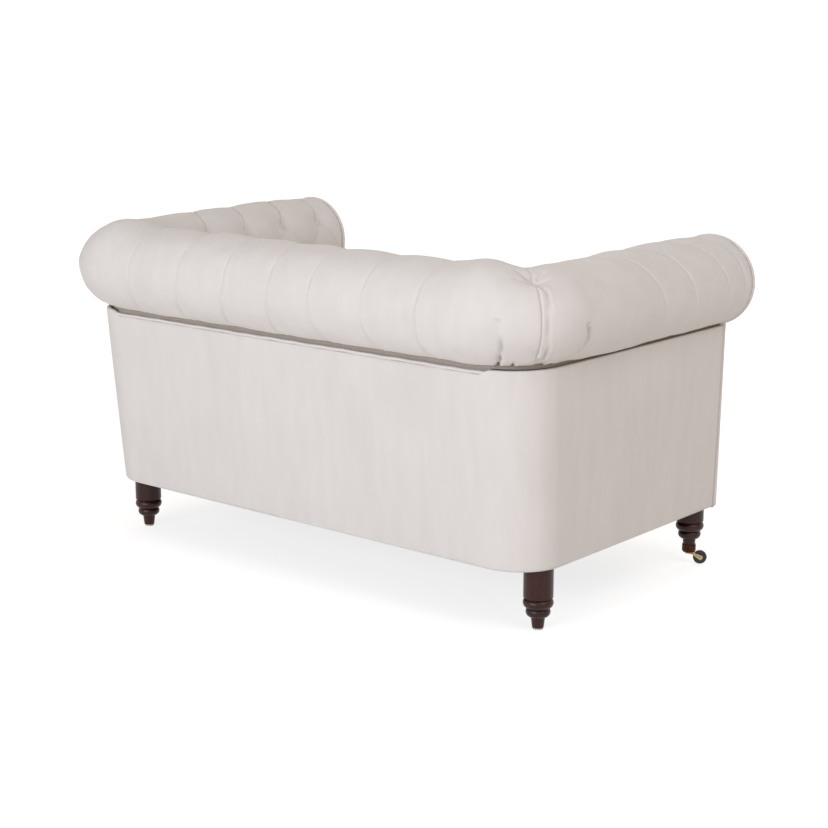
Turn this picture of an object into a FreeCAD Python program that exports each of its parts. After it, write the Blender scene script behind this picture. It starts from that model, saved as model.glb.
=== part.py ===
"""Two-seat chesterfield sofa: frame, springs, upholstery, turned legs and front castors.

Millimetres. +X is to the right seen from the front, the front faces -Y, +Z is up.
The origin is on the floor, under the middle of the sofa.
"""
import FreeCAD, Part
import Sketcher
import math
import os

Vector = FreeCAD.Vector
UP = Vector(0, 0, 1)

SIZES = {
    # Rolls: one round section runs along both arms and the back.
    "roll_radius": 110,
    "roll_centre_height": 670,
    "inner_corner_radius": 2,
    "front_offset": 421.5,
    "pleat_depth": 8,
    "back_pleat_spacing": 146,
    "arm_pleat_spacing": 132,
    "arm_first_pleat": 48,
    "pad_thickness": 66,
    "corner_crease": 10,
    # Frame of the rolls, measured from the roll's centre line.
    "board_reach": 23.5,
    "board_thickness": 25,
    "board_height": 150,
    "slat_thickness": 20,
    "slat_rise": 45,
    "webbing_thickness": 2,
    "webbing_width": 50,
    # Outside panels and the base.
    "base_height": 140,
    "base_half_width": 653,
    "base_back_offset": 309,
    "base_corner_radius": 111,
    "panel_thickness": 12,
    "side_lean": 11,
    "back_lean": 38.5,
    "panel_gap": 0.5,
    "piping_radius": 3.5,
    "facing_thickness": 12,
    "facing_inset": 4,
    "edge_round": 5,
    "border_thickness": 20,
    # Seat frame.
    "plate_thickness": 3,
    "rail_thickness": 25,
    "rail_height": 127,
    "block_height": 42,
    "front_block_depth": 79.5,
    "stump_set_in": 13,
    "post_side": 30,
    "post_reach": 63.5,
    "tack_rail_height": 40,
    "tack_rail_rise": 5,
    "stretcher_width": 30,
    "stretcher_height": 72,
    "strap_clearance": 3.4,
    # Springs, deck and cushions.
    "spring_wire_radius": 2,
    "spring_pitch": 60,
    "spring_swing": 30,
    "spring_spacing": 140,
    "clip_thickness": 1.5,
    "clip_length": 20,
    "deck_gap": 0.5,
    "deck_thickness": 24,
    "cushion_height": 145,
    "cushion_side_gap": 6,
    "cushion_back_gap": 5.5,
    "cushion_middle_gap": 1,
    "cushion_front_set_back": 3.5,
    "cushion_corner_radius": 40,
    "seam_draw": 12,
    "soft_gap": 0.3,
    "cover_thickness": 1,
    # Buttons.
    "button_radius": 11,
    "button_thickness": 6,
    "tuft_radius": 36,
    "tuft_depth": 16,
    "tuft_row_pitch": 95,
    # Legs.
    "leg_side_inset": 44,
    "leg_back_inset": 92.5,
    "leg_front_inset": 37.7,
    "foot_radius": 12.5,
    "ankle_radius": 15.5,
    "small_bead_height": 20,
    "neck_radius": 22.5,
    "bead_fullness": 0.58,
    "large_bead_height": 21,
    "collar_radius": 28,
    "column_radius": 32,
    "rear_ankle_height": 28,
    "front_ankle_height": 63,
    "glide_thickness": 4,
    "glide_radius": 11,
    "plate_radius": 25,
    "plate_screw_circle": 17,
    "plate_screw_radius": 2,
    "plate_screw_length": 16,
    "bolt_radius": 4,
    "bolt_in_leg": 35,
    "bolt_in_block": 30,
    "hole_clearance": 0.3,
    # Castors.
    "castor_trail": 26.5,
    "castor_trail_angle": 40,
    "wheel_radius": 16,
    "wheel_width": 9,
    "wheel_easing": 1.8,
    "wheel_side_gap": 0.7,
    "wheel_tread_gap": 1.2,
    "axle_radius": 2.5,
    "axle_head_radius": 4,
    "axle_head_thickness": 1.5,
    "running_clearance": 0.05,
    "fork_thickness": 2.5,
    "fork_disc_radius": 9,
    "fork_disc_thickness": 3.7,
    "fork_eye_radius": 6,
    "cup_bottom": 30,
    "cup_wall": 2,
    "cup_floor": 4,
    "cup_height": 18,
    "pintle_radius": 4,
    "pintle_length": 14,
    "pintle_collar_radius": 6,
    "pintle_collar_thickness": 2,
    "cup_screw_radius": 1.2,
    "cup_screw_length": 8,
    "cup_screw_proud": 0.5,
}

# Angles in degrees, and shares of a length.
TUFT_TILT = 35
CORNER_TUFT_TILT = 80
CREASE_SWEEP = 250
SCROLL_DROP_SHARE = 0.94
BUTTON_DOME_SHARE = 0.6
CUP_SCREW_SHARE = 0.7
FORK_TAIL_SHARE = 0.6
FORK_NOSE_SHARE = 0.8
FORK_THROAT_SHARE = 0.3
# A cushion's shape: share of its height, then how far the side is drawn in there, in seam draws
# up to the upper seam and above it in crown widths, which are a share of half its width.
CROWN_WIDTH_SHARE = 0.5865
CUSHION_SIDES = ((0.0, 1.0), (0.05, 0.5), (0.12, 0.2), (0.24, 0.0), (0.48, 0.0), (0.6, 0.2), (0.67, 0.5),
                 (0.72, 1.0))
CUSHION_CROWN = ((0.8, 0.2), (0.88, 0.42), (0.95, 0.7), (1.0, 1.0))

doc = FreeCAD.newDocument("ChesterfieldSofa")
sheet = doc.addObject("Spreadsheet::Sheet", "Sizes")
for row, (alias, number) in enumerate(SIZES.items(), start=1):
    sheet.set(f"A{row}", str(number))
    sheet.setAlias(f"A{row}", alias)
doc.recompute()


class Size:
    """A length or angle: its number, and the sheet expression that gives it."""

    def __init__(self, text, number):
        self.text = text
        self.number = number

    def join(self, sign, other, number):
        other_text = other.text if isinstance(other, Size) else repr(other)
        return Size(f"({self.text} {sign} {other_text})", number)

    def __add__(self, other):
        return self.join("+", other, self.number + float(other))

    def __sub__(self, other):
        return self.join("-", other, self.number - float(other))

    def __mul__(self, other):
        return self.join("*", other, self.number * float(other))

    def __truediv__(self, other):
        return self.join("/", other, self.number / float(other))

    def __neg__(self):
        return Size(f"(0 - {self.text})", -self.number)

    def __float__(self):
        return float(self.number)


def size(alias):
    """The sheet's cell of that name."""
    return Size(f"Sizes.{alias}", float(sheet.get(alias)))


def root(length):
    """Square root of a Size that holds an area."""
    return Size(f"sqrt({length.text})", math.sqrt(length.number))


ZERO = Size("0", 0.0)
SUBPARTS = []


def name(piece, label):
    """Gives the piece its own label and lists it as a sub-part."""
    piece.Label = label
    SUBPARTS.append(piece)
    return piece


def bind(piece, **properties):
    """Binds an object's properties to their expressions."""
    for key, value in properties.items():
        piece.setExpression(key, value.text)


def bind_place(piece, x=ZERO, y=ZERO, z=ZERO):
    """Binds a piece's placement."""
    for axis, value in zip("xyz", (x, y, z)):
        piece.setExpression(f"Placement.Base.{axis}", value.text)


def block(tag, low, high):
    """A box between two corners."""
    piece = doc.addObject("Part::Box", tag)
    bind(piece, Length=high[0] - low[0], Width=high[1] - low[1], Height=high[2] - low[2])
    bind_place(piece, *low)
    return piece


def rod(tag, radius, height, x=ZERO, y=ZERO, z=ZERO):
    """An upright cylinder."""
    piece = doc.addObject("Part::Cylinder", tag)
    bind(piece, Radius=radius, Height=height)
    bind_place(piece, x, y, z)
    return piece


def boolean(kind, tag, pieces):
    """A cut (first less second) or a join of several pieces."""
    joined = doc.addObject(kind, tag)
    if kind == "Part::Cut":
        joined.Base, joined.Tool = pieces
    elif kind == "Part::Compound":
        joined.Links = pieces
    else:
        joined.Shapes = pieces
    return joined


def mirror_object(piece):
    """The same piece on the sofa's other side."""
    twin = doc.addObject("Part::Mirroring", piece.Name + "Twin")
    twin.Source = piece
    twin.Normal = Vector(1, 0, 0)
    return twin


def pair(piece, label):
    """Names the right-hand piece and its mirrored twin."""
    name(piece, label + "_right")
    name(mirror_object(piece), label + "_left")


def new_body(tag):
    return doc.addObject("PartDesign::Body", tag)


def origin_plane(body, role):
    """One of the body's own origin planes."""
    return next(part for part in body.Origin.OriginFeatures if part.Role == role)


def outline(body, tag, role, points, radii=None, lift=None):
    """A closed sketch through the points, each bound to its expressions.

    radii gives, for a point's index, the arc that runs from it to the next point: its radius
    and the side on which it bulges (1 is to the right of the way travelled).
    """
    radii = radii or {}
    sketch = body.newObject("Sketcher::SketchObject", tag)
    sketch.AttachmentSupport = [(origin_plane(body, role), "")]
    sketch.MapMode = "FlatFace"
    if lift is not None:
        sketch.setExpression(".AttachmentOffset.Base.z", lift.text)
    flat = [Vector(float(x), float(y), 0) for x, y in points]
    total = len(points)
    ends = []
    for index, start in enumerate(flat):
        end = flat[(index + 1) % total]
        radius, side = radii.get(index, (None, 1))
        ends.append((1, 2) if side > 0 else (2, 1))
        if radius is None:
            sketch.addGeometry(Part.LineSegment(start, end))
            continue
        middle = arc_middle(start, end, float(radius), side)
        stops = (start, middle, end) if side > 0 else (end, middle, start)
        sketch.addGeometry(Part.Arc(*stops))
    for index in range(total):
        after = (index + 1) % total
        sketch.addConstraint(Sketcher.Constraint("Coincident", index, ends[index][1], after, ends[after][0]))
    for index, (x, y) in enumerate(points):
        for kind, value in (("DistanceX", x), ("DistanceY", y)):
            number = sketch.addConstraint(
                Sketcher.Constraint(kind, -1, 1, index, ends[index][0], float(value)))
            sketch.setExpression(f"Constraints[{number}]", value.text)
    for index, (radius, side) in radii.items():
        number = sketch.addConstraint(Sketcher.Constraint("Radius", index, float(radius)))
        sketch.setExpression(f"Constraints[{number}]", radius.text)
    return sketch


def arc_middle(start, end, radius, side):
    """The middle point of an arc of under a half circle."""
    chord = end - start
    half = chord.Length / 2
    rise = radius - math.sqrt(max(radius ** 2 - half ** 2, 0))
    across = Vector(chord.y, -chord.x, 0).normalize() * side
    return (start + end) * 0.5 + across * rise


def pad(body, sketch, length, middle=False, reverse=False):
    feature = body.newObject("PartDesign::Pad", sketch.Name + "_pad")
    feature.Profile = sketch
    bind(feature, Length=length)
    feature.Midplane = middle
    feature.Reversed = reverse
    return feature


def turn(body, sketch):
    """Revolves a sketch on the XZ plane about the body's vertical axis."""
    feature = body.newObject("PartDesign::Revolution", sketch.Name + "_turn")
    feature.Profile = sketch
    feature.ReferenceAxis = (origin_plane(body, "Z_Axis"), [""])
    feature.Angle = 360
    return feature


def pocket(body, sketch, length, middle=False, reverse=False):
    feature = body.newObject("PartDesign::Pocket", sketch.Name + "_pocket")
    feature.Profile = sketch
    bind(feature, Length=length)
    feature.Midplane = middle
    feature.Reversed = reverse
    return feature


def circle(body, tag, role, x, y, radius):
    """A sketch with one bound circle."""
    sketch = body.newObject("Sketcher::SketchObject", tag)
    sketch.AttachmentSupport = [(origin_plane(body, role), "")]
    sketch.MapMode = "FlatFace"
    sketch.addGeometry(Part.Circle(Vector(float(x), float(y), 0), UP, float(radius)))
    for kind, value in (("DistanceX", x), ("DistanceY", y)):
        number = sketch.addConstraint(Sketcher.Constraint(kind, -1, 1, 0, 3, float(value)))
        sketch.setExpression(f"Constraints[{number}]", value.text)
    number = sketch.addConstraint(Sketcher.Constraint("Radius", 0, float(radius)))
    sketch.setExpression(f"Constraints[{number}]", radius.text)
    return sketch


def shaped(tag, shape):
    """A piece whose shape is worked out from the sheet's values."""
    piece = doc.addObject("Part::Feature", tag)
    piece.Shape = shape
    return piece


# Main lines of the sofa.
roll_radius = size("roll_radius")
roll_height = size("roll_centre_height")
panel = size("panel_thickness")
side_low = size("base_half_width")
back_low = size("base_back_offset")
side_top = side_low + size("side_lean")
back_top = back_low + size("back_lean")
board_reach = size("board_reach")
arm_board_face = side_top - panel - size("panel_gap")
back_board_face = back_top - panel - size("panel_gap")
arm_line = arm_board_face - board_reach
back_line = back_board_face - board_reach
corner_radius = roll_radius + size("inner_corner_radius")
corner_x = arm_line - corner_radius
corner_y = back_line - corner_radius
front = -size("front_offset")
facing_back = front + size("facing_thickness")
border_back = front + size("border_thickness")
base = size("base_height")
frame_low = base + size("plate_thickness")
rail_top = frame_low + size("rail_height")
rail = size("rail_thickness")
slat_top = roll_height + size("slat_rise")
slat_low = slat_top - size("slat_thickness")
board_low = slat_low - size("board_height")
block_top = frame_low + size("block_height")
clip_top = rail_top + size("clip_thickness")
deck_low = clip_top + size("spring_wire_radius") * 2 + size("deck_gap")
deck_top = deck_low + size("deck_thickness")
arm_inside = arm_line - roll_radius
back_inside = back_line - roll_radius
arm_slot = arm_inside + size("pad_thickness")
back_slot = back_inside + size("pad_thickness")
arm_web = arm_slot + size("webbing_thickness")
back_web = back_slot + size("webbing_thickness")
panel_top = roll_height - root(roll_radius * roll_radius - board_reach * board_reach) - size("panel_gap")
back_panel_top = panel_top - size("piping_radius") * 2
low_radius = size("base_corner_radius")
seam_x = side_low - low_radius
bend_y = back_low - low_radius
top_radius = side_top - seam_x
leg_x = side_low - size("leg_side_inset")
rear_leg_y = back_low - size("leg_back_inset")
front_leg_y = front + size("leg_front_inset")


def leaning(low_value, top_value, height):
    """Where a leaning panel's face lies at a height."""
    return low_value + (top_value - low_value) * (height - base) / (panel_top - base)


# Seat frame: four rails, a stretcher and four corner blocks.
half_post = size("post_side") / 2
post_x = corner_x + size("post_reach")
post_y = corner_y + size("post_reach")
front_block_inner = post_x - half_post + size("panel_gap")
front_block_outer = side_low - panel - size("panel_gap")
front_block_rear = facing_back + size("front_block_depth")
back_rail_face = back_low - panel
name(block("FrontRail", (-front_block_inner, border_back, frame_low),
           (front_block_inner, border_back + rail, rail_top)), "seat_rail_front")
name(block("BackRail", (-seam_x, back_rail_face - rail, frame_low),
           (seam_x, back_rail_face, rail_top)), "seat_rail_back")
pair(block("SideRail", (side_low - panel - rail, front_block_rear, frame_low),
           (side_low - panel, bend_y, rail_top)), "seat_rail")
half_stretcher = size("stretcher_width") / 2
name(block("Stretcher", (-half_stretcher, border_back + rail, frame_low),
           (half_stretcher, back_rail_face - rail, frame_low + size("stretcher_height"))),
     "seat_stretcher")
front_block = block("FrontBlock", (front_block_inner, facing_back, frame_low),
                    (front_block_outer, front_block_rear, block_top))
name(boolean("Part::Compound", "FrontBlocks", [front_block, mirror_object(front_block)]),
     "front_corner_blocks")


def rear_corner_block():
    """A quarter-round block that fills the rounded rear corner."""
    body = new_body("RearBlock")
    reach = low_radius - panel - size("panel_gap")
    sketch = outline(body, "RearBlockPlan", "XY_Plane",
                     [(ZERO, ZERO), (reach, ZERO), (ZERO, reach)], {1: (reach, 1)})
    pad(body, sketch, size("block_height"))
    bind_place(body, seam_x, bend_y, frame_low)
    return body


rear_block = rear_corner_block()
name(boolean("Part::Compound", "RearBlocks", [rear_block, mirror_object(rear_block)]),
     "rear_corner_blocks")

# Uprights, boards and slats that carry the rolls.
stump_outer = arm_board_face - size("stump_set_in")
stump_back = facing_back + rail
pair(block("Stump", (arm_web, facing_back, block_top), (stump_outer, stump_back, slat_low)),
     "arm_stump")
pair(block("RearPost", (post_x - half_post, post_y - half_post, block_top),
           (post_x + half_post, post_y + half_post, slat_low)), "rear_post")
tack_low = deck_top + size("tack_rail_rise")
tack_top = tack_low + size("tack_rail_height")
pair(block("ArmTackRail", (arm_web, stump_back, tack_low),
           (arm_web + rail, post_y - half_post, tack_top)), "arm_tack_rail")
name(block("BackTackRail", (-post_x + half_post, back_web, tack_low),
           (post_x - half_post, back_web + rail, tack_top)), "back_tack_rail")
pair(block("ArmBoard", (arm_board_face - size("board_thickness"), stump_back, board_low),
           (arm_board_face, corner_y, slat_low)), "arm_top_board")
back_board_outer = leaning(back_low - panel, back_top - panel, board_low)
back_board_inner = back_board_outer - size("board_thickness")
name(block("BackBoard", (-corner_x, back_board_inner, board_low),
           (corner_x, back_board_outer, slat_low)), "back_top_board")
name(block("CentrePost", (-half_post, back_web + size("strap_clearance"), tack_top),
           (half_post, back_board_inner, slat_low)), "back_centre_post")
pair(block("ArmSlat", (arm_web, facing_back, slat_low), (arm_board_face, corner_y, slat_top)),
     "roll_slat")


def back_slat():
    """The back's slat, whose quarter rings carry the roll round both corners."""
    body = new_body("BackSlat")
    outer = corner_radius + board_reach
    inner = size("inner_corner_radius") + size("pad_thickness") + size("webbing_thickness")
    sketch = outline(
        body, "BackSlatPlan", "XY_Plane",
        [(corner_x + inner, corner_y), (corner_x + outer, corner_y), (corner_x, corner_y + outer),
         (-corner_x, corner_y + outer), (-corner_x - outer, corner_y), (-corner_x - inner, corner_y),
         (-corner_x, corner_y + inner), (corner_x, corner_y + inner)],
        {1: (outer, 1), 3: (outer, 1), 5: (inner, -1), 7: (inner, -1)})
    pad(body, sketch, size("slat_thickness"))
    bind_place(body, z=slat_low)
    return body


name(back_slat(), "roll_slat_back")


def straps(count, first, step, along_x):
    """Upright webbing straps in a row, each tacked to the tack rail and the slat."""
    half = float(size("webbing_width")) / 2
    thick = float(size("webbing_thickness"))
    rise = float(slat_top) - float(tack_low)
    solids = []
    for index in range(count):
        middle = first + index * step
        if along_x:
            corner = Vector(middle - half, float(back_slot), float(tack_low))
            solids.append(Part.makeBox(2 * half, thick, rise, corner))
        else:
            corner = Vector(float(arm_slot), middle - half, float(tack_low))
            solids.append(Part.makeBox(thick, 2 * half, rise, corner))
    return Part.makeCompound(solids)


back_pleat = float(size("back_pleat_spacing"))
back_side_pleats = int(float(corner_x) // back_pleat)
back_pleats = [step * back_pleat for step in range(-back_side_pleats, back_side_pleats + 1)]
arm_pleat = float(size("arm_pleat_spacing"))
arm_first = float(size("arm_first_pleat"))
arm_run = arm_first - float(facing_back) - arm_pleat / 3
arm_pleats = [arm_first - step * arm_pleat for step in range(int(arm_run // arm_pleat) + 1)]
back_straps = straps(len(back_pleats), back_pleats[0], back_pleat, True)
name(shaped("BackWebbing", back_straps), "back_webbing")
arm_straps = straps(len(arm_pleats), arm_pleats[-1] + arm_pleat / 2, arm_pleat, False)
pair(shaped("ArmWebbing", arm_straps), "arm_webbing")


def sinuous_spring(start_y, end_y):
    """One zigzag wire spring lying along Y at x = 0: bars across, joined by half turns."""
    bend = float(size("spring_pitch")) / 4
    swing = float(size("spring_swing"))
    bars = int((end_y - start_y) // (2 * bend))
    lead = (end_y - start_y - bars * 2 * bend) / 2
    here = Vector(0, start_y, 0)
    edges = []
    step = Vector(0, start_y + lead, 0)
    edges.append(Part.LineSegment(here, step).toShape())
    side = 1
    edges.append(Part.Arc(step, step + Vector(bend * (1 - math.sqrt(0.5)), bend * math.sqrt(0.5), 0),
                          step + Vector(bend, bend, 0)).toShape())
    here = step + Vector(bend, bend, 0)
    for _ in range(bars - 1):
        far = Vector(side * swing, here.y, 0)
        edges.append(Part.LineSegment(here, far).toShape())
        after = far + Vector(0, 2 * bend, 0)
        edges.append(Part.Arc(far, far + Vector(side * bend, bend, 0), after).toShape())
        here = after
        side = -side
    last = Vector(side * bend, here.y, 0) * 1
    last.x = -side * bend
    edges.append(Part.LineSegment(here, last).toShape())
    turn_out = last + Vector(side * bend, bend, 0)
    edges.append(Part.Arc(last, last + Vector(side * bend * math.sqrt(0.5), bend * (1 - math.sqrt(0.5)), 0),
                          turn_out).toShape())
    edges.append(Part.LineSegment(turn_out, Vector(0, end_y, 0)).toShape())
    path = Part.Wire(edges)
    radius = float(size("spring_wire_radius"))
    ring = Part.Wire(Part.makeCircle(radius, Vector(0, start_y, 0), Vector(0, 1, 0)))
    return path.makePipeShell([ring], True, False)


spring_step = float(size("spring_spacing"))
spring_reach = (float(arm_inside) // spring_step) * spring_step
spring_count = int(2 * spring_reach / spring_step) + 1
spring_rows = [-spring_reach + index * spring_step for index in range(spring_count)]
clip_length = float(size("clip_length"))
spring_start = float(border_back + rail / 2)
spring_end = float(back_rail_face - rail / 2)
spring_z = float(clip_top + size("spring_wire_radius"))
one_spring = sinuous_spring(spring_start, spring_end)
springs = []
clips = []
for place in spring_rows:
    copy = one_spring.copy()
    copy.translate(Vector(place, 0, spring_z))
    springs.append(copy)
    for end in (spring_start, spring_end):
        corner = Vector(place - clip_length / 2, end - clip_length / 2, float(rail_top))
        clips.append(Part.makeBox(clip_length, clip_length, float(size("clip_thickness")), corner))
name(shaped("Springs", Part.makeCompound(springs)), "seat_springs")
name(shaped("Clips", Part.makeCompound(clips)), "spring_clips")
deck_half = post_x - half_post - size("panel_gap")
name(block("Deck", (-deck_half, border_back, deck_low),
           (deck_half, post_y - half_post - size("panel_gap"), deck_top)), "seat_deck")


def side_panel():
    """The outside arm panel: flat along the arm, then round the rear corner, leaning outwards."""
    body = new_body("SidePanel")
    rings = []
    for tag, side_face, back_face, radius, lift in (
            ("SideLow", side_low, back_low, low_radius, base),
            ("SideTop", side_top, back_top, top_radius, panel_top)):
        centre_y = back_face - radius
        inner = radius - panel
        rings.append(outline(
            body, tag, "XY_Plane",
            [(side_face - panel, facing_back), (side_face, facing_back), (side_face, centre_y),
             (seam_x, back_face), (seam_x, back_face - panel), (side_face - panel, centre_y)],
            {2: (radius, 1), 4: (inner, -1)}, lift))
    loft = body.newObject("PartDesign::AdditiveLoft", "SideLoft")
    loft.Profile = rings[0]
    loft.Sections = [rings[1]]
    loft.Ruled = True
    return body


def back_panel():
    """The flat outside back, which leans back from the base to its piped top edge."""
    body = new_body("BackPanel")
    top_face = leaning(back_low, back_top, back_panel_top)
    sketch = outline(body, "BackPanelSide", "YZ_Plane",
                     [(back_low - panel, base), (back_low, base),
                      (top_face, back_panel_top), (top_face - panel, back_panel_top)])
    pad(body, sketch, seam_x * 2, middle=True)
    return body


def facing():
    """The arm's front board cover: a scroll over a stem."""
    body = new_body("Facing")
    scroll = roll_radius - size("facing_inset")
    drop = scroll * SCROLL_DROP_SHARE
    swing = root(scroll * scroll - drop * drop)
    sketch = outline(
        body, "FacingFront", "XZ_Plane",
        [(arm_line - scroll, base), (side_low, base), (side_top, panel_top),
         (arm_line + swing, roll_height - drop), (arm_line + scroll, roll_height),
         (arm_line, roll_height + scroll), (arm_line - scroll, roll_height)],
        {3: (scroll, 1), 4: (scroll, 1), 5: (scroll, 1)})
    pad(body, sketch, size("facing_thickness"))
    bind_place(body, y=facing_back)
    return body


def crown(low, high, crest):
    """A full puff between two pleats: its start, its three heights and its end."""
    dip = crest - float(size("pleat_depth"))
    return (low, dip, crest, high, dip)


def half_crown(pleat_end, open_end, crest):
    """A puff that rises from a pleat and runs level at its open end."""
    depth = float(size("pleat_depth"))
    run = open_end - pleat_end
    bend = (run ** 2 + depth ** 2) / (2 * depth)
    middle = crest - (bend - math.sqrt(bend ** 2 - (run / 2) ** 2))
    return (pleat_end, crest - depth, middle, open_end, crest)


def facing_left(puff):
    """The same puff, turned end for end about the middle of its run."""
    start, start_height, middle, end, end_height = puff
    return (-end, end_height, middle, -start, start_height)


def puff_edges(puffs, place):
    """An arc over each puff, put in space by place(along, height)."""
    edges = []
    for start, start_height, middle, end, end_height in puffs:
        edges.append(Part.Arc(place(start, start_height), place((start + end) / 2, middle),
                              place(end, end_height)).toShape())
    return edges


def closed_face(edges, corners):
    """A face bounded by edges in a row and by lines through further corners."""
    first = edges[0].Vertexes[0].Point
    last = edges[-1].Vertexes[-1].Point
    stops = [last] + corners + [first]
    lines = [Part.LineSegment(start, end).toShape() for start, end in zip(stops, stops[1:])]
    return Part.Face(Part.Wire(edges + lines))


def pleated_run(puffs):
    """A straight run of roll and inside wall along X, with its centre line on the X axis.

    The wall is on the -Y side and falls to the deck; the frame's slot is cut from below.
    """
    crest = float(roll_radius)
    start = puffs[0][0]
    end = puffs[-1][3]
    round_edges = puff_edges(puffs, lambda along, height: Vector(along, height, 0))
    round_face = closed_face(round_edges, [Vector(end, 0, 0), Vector(start, 0, 0)])
    roll = round_face.revolve(Vector(0, 0, 0), Vector(1, 0, 0), 360)
    wall_back = float(size("pad_thickness")) - crest
    drop = float(roll_height) - float(deck_top)
    wall_edges = puff_edges(puffs, lambda along, height: Vector(along, -height, 0))
    wall_face = closed_face(wall_edges, [Vector(end, wall_back, 0), Vector(start, wall_back, 0)])
    wall = wall_face.extrude(Vector(0, 0, -drop))
    slot = Part.makeBox(end - start + 2, float(board_reach) - wall_back,
                        crest + float(size("slat_rise")),
                        Vector(start - 1, wall_back, -crest))
    return roll.cut(slot).fuse(wall)


def corner_sector(low_angle):
    """An eighth turn of the plain roll and wall about the corner's upright axis."""
    crest = float(roll_radius)
    line = float(corner_radius)
    height = float(roll_height)
    wall_face = line - crest
    slot_face = wall_face + float(size("pad_thickness"))
    reach = float(board_reach)
    board_face = line + reach
    foot = height - math.sqrt(crest ** 2 - reach ** 2)
    slot_top = float(slat_top)
    low = float(deck_top)
    slant = crest * math.sqrt(0.5)
    edges = [
        Part.Arc(Vector(wall_face, 0, height), Vector(line - slant, 0, height + slant),
                 Vector(line, 0, height + crest)).toShape(),
        Part.Arc(Vector(line, 0, height + crest), Vector(line + slant, 0, height + slant),
                 Vector(line + crest, 0, height)).toShape(),
        Part.Arc(Vector(line + crest, 0, height), Vector(line + slant, 0, height - slant),
                 Vector(board_face, 0, foot)).toShape(),
    ]
    face = closed_face(edges, [
        Vector(board_face, 0, slot_top), Vector(slot_face, 0, slot_top), Vector(slot_face, 0, low),
        Vector(wall_face, 0, low)])
    sector = face.revolve(Vector(0, 0, 0), UP, 45)
    sector.rotate(Vector(0, 0, 0), UP, low_angle)
    sector.translate(Vector(float(corner_x), float(corner_y), 0))
    return sector


def corner_crease():
    """A V-shaped ring that cuts the seam between the back and the right arm."""
    crest = float(roll_radius)
    depth = float(size("corner_crease"))
    along = Vector(-math.sqrt(0.5), math.sqrt(0.5), 0)
    outward = Vector(math.sqrt(0.5), math.sqrt(0.5), 0)
    centre = Vector(float(corner_x), float(corner_y), float(roll_height))
    centre += outward * float(corner_radius)
    corners = [centre - outward * (crest - depth),
               centre - outward * (crest + depth) + along * depth * 2,
               centre - outward * (crest + depth) - along * depth * 2]
    face = Part.Face(Part.makePolygon(corners + corners[:1]))
    return face.revolve(centre, along, -CREASE_SWEEP)


def tuft(point, normal):
    """The hollow that a button pulls into the pad, and the button in it."""
    radius = float(size("tuft_radius"))
    depth = float(size("tuft_depth"))
    hollow = Part.makeSphere(radius, point + normal * (radius - depth))
    rim = float(size("button_radius"))
    thick = float(size("button_thickness"))
    sag = radius - math.sqrt(radius ** 2 - rim ** 2)
    seat = float(size("running_clearance"))
    rise = thick * BUTTON_DOME_SHARE
    dome = (rim ** 2 + rise ** 2) / (2 * rise)
    button = Part.makeCylinder(rim, thick).common(Part.makeSphere(dome, Vector(0, 0, thick - dome)))
    button.Placement = FreeCAD.Placement(point + normal * (sag + seat - depth), FreeCAD.Rotation(UP, normal))
    return hollow, button


def tuft_rows(shifts, low, high):
    """Button places on a run along X: each a point and a normal, row by row from the top."""
    crest = float(roll_radius)
    height = float(roll_height)
    row = float(size("tuft_row_pitch"))
    half_step = (shifts[1] - shifts[0]) / 2
    tilt = math.radians(TUFT_TILT)
    places = []
    for along in shifts:
        normal = Vector(0, -math.cos(tilt), math.sin(tilt))
        places.append((Vector(along, 0, height) + normal * crest, normal))
        places.append((Vector(along, -crest, height + crest * math.sin(tilt) - 2 * row), Vector(0, -1, 0)))
    for along in [shifts[0] - half_step] + [shift + half_step for shift in shifts]:
        if low + row / 2 < along < high - row / 2:
            places.append((Vector(along, -crest, height + crest * math.sin(tilt) - row), Vector(0, -1, 0)))
    return places


def corner_button_place():
    """The button on top of the right rear corner, at the seam."""
    tilt = math.radians(CORNER_TUFT_TILT)
    outward = Vector(math.sqrt(0.5), math.sqrt(0.5), 0)
    centre = Vector(float(corner_x), float(corner_y), float(roll_height))
    centre += outward * float(corner_radius)
    normal = outward * -math.cos(tilt) + UP * math.sin(tilt)
    return centre + normal * float(roll_radius), normal


def mirror_shape(shape):
    return shape.mirror(Vector(0, 0, 0), Vector(1, 0, 0))


def back_upholstery():
    """The back pad with both corner eighths, and its buttons."""
    crest = float(roll_radius)
    end = float(corner_x)
    last = half_crown(back_pleats[-1], end, crest)
    puffs = [crown(low, high, crest) for low, high in zip(back_pleats, back_pleats[1:])]
    puffs = [facing_left(last)] + puffs + [last]
    run = pleated_run(puffs)
    run.translate(Vector(0, float(back_line), float(roll_height)))
    corner = corner_sector(45)
    crease = corner_crease()
    corner_hollow, corner_button = tuft(*corner_button_place())
    hollows = []
    buttons = [corner_button, mirror_shape(corner_button)]
    for point, normal in tuft_rows(back_pleats, -end, end):
        hollow, button = tuft(point + Vector(0, float(back_line), 0), normal)
        hollows.append(hollow)
        buttons.append(button)
    corner = corner.cut(crease).cut(corner_hollow)
    joined = run.cut(hollows).fuse([corner, mirror_shape(corner)]).removeSplitter()
    return joined, Part.makeCompound(buttons)


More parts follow.
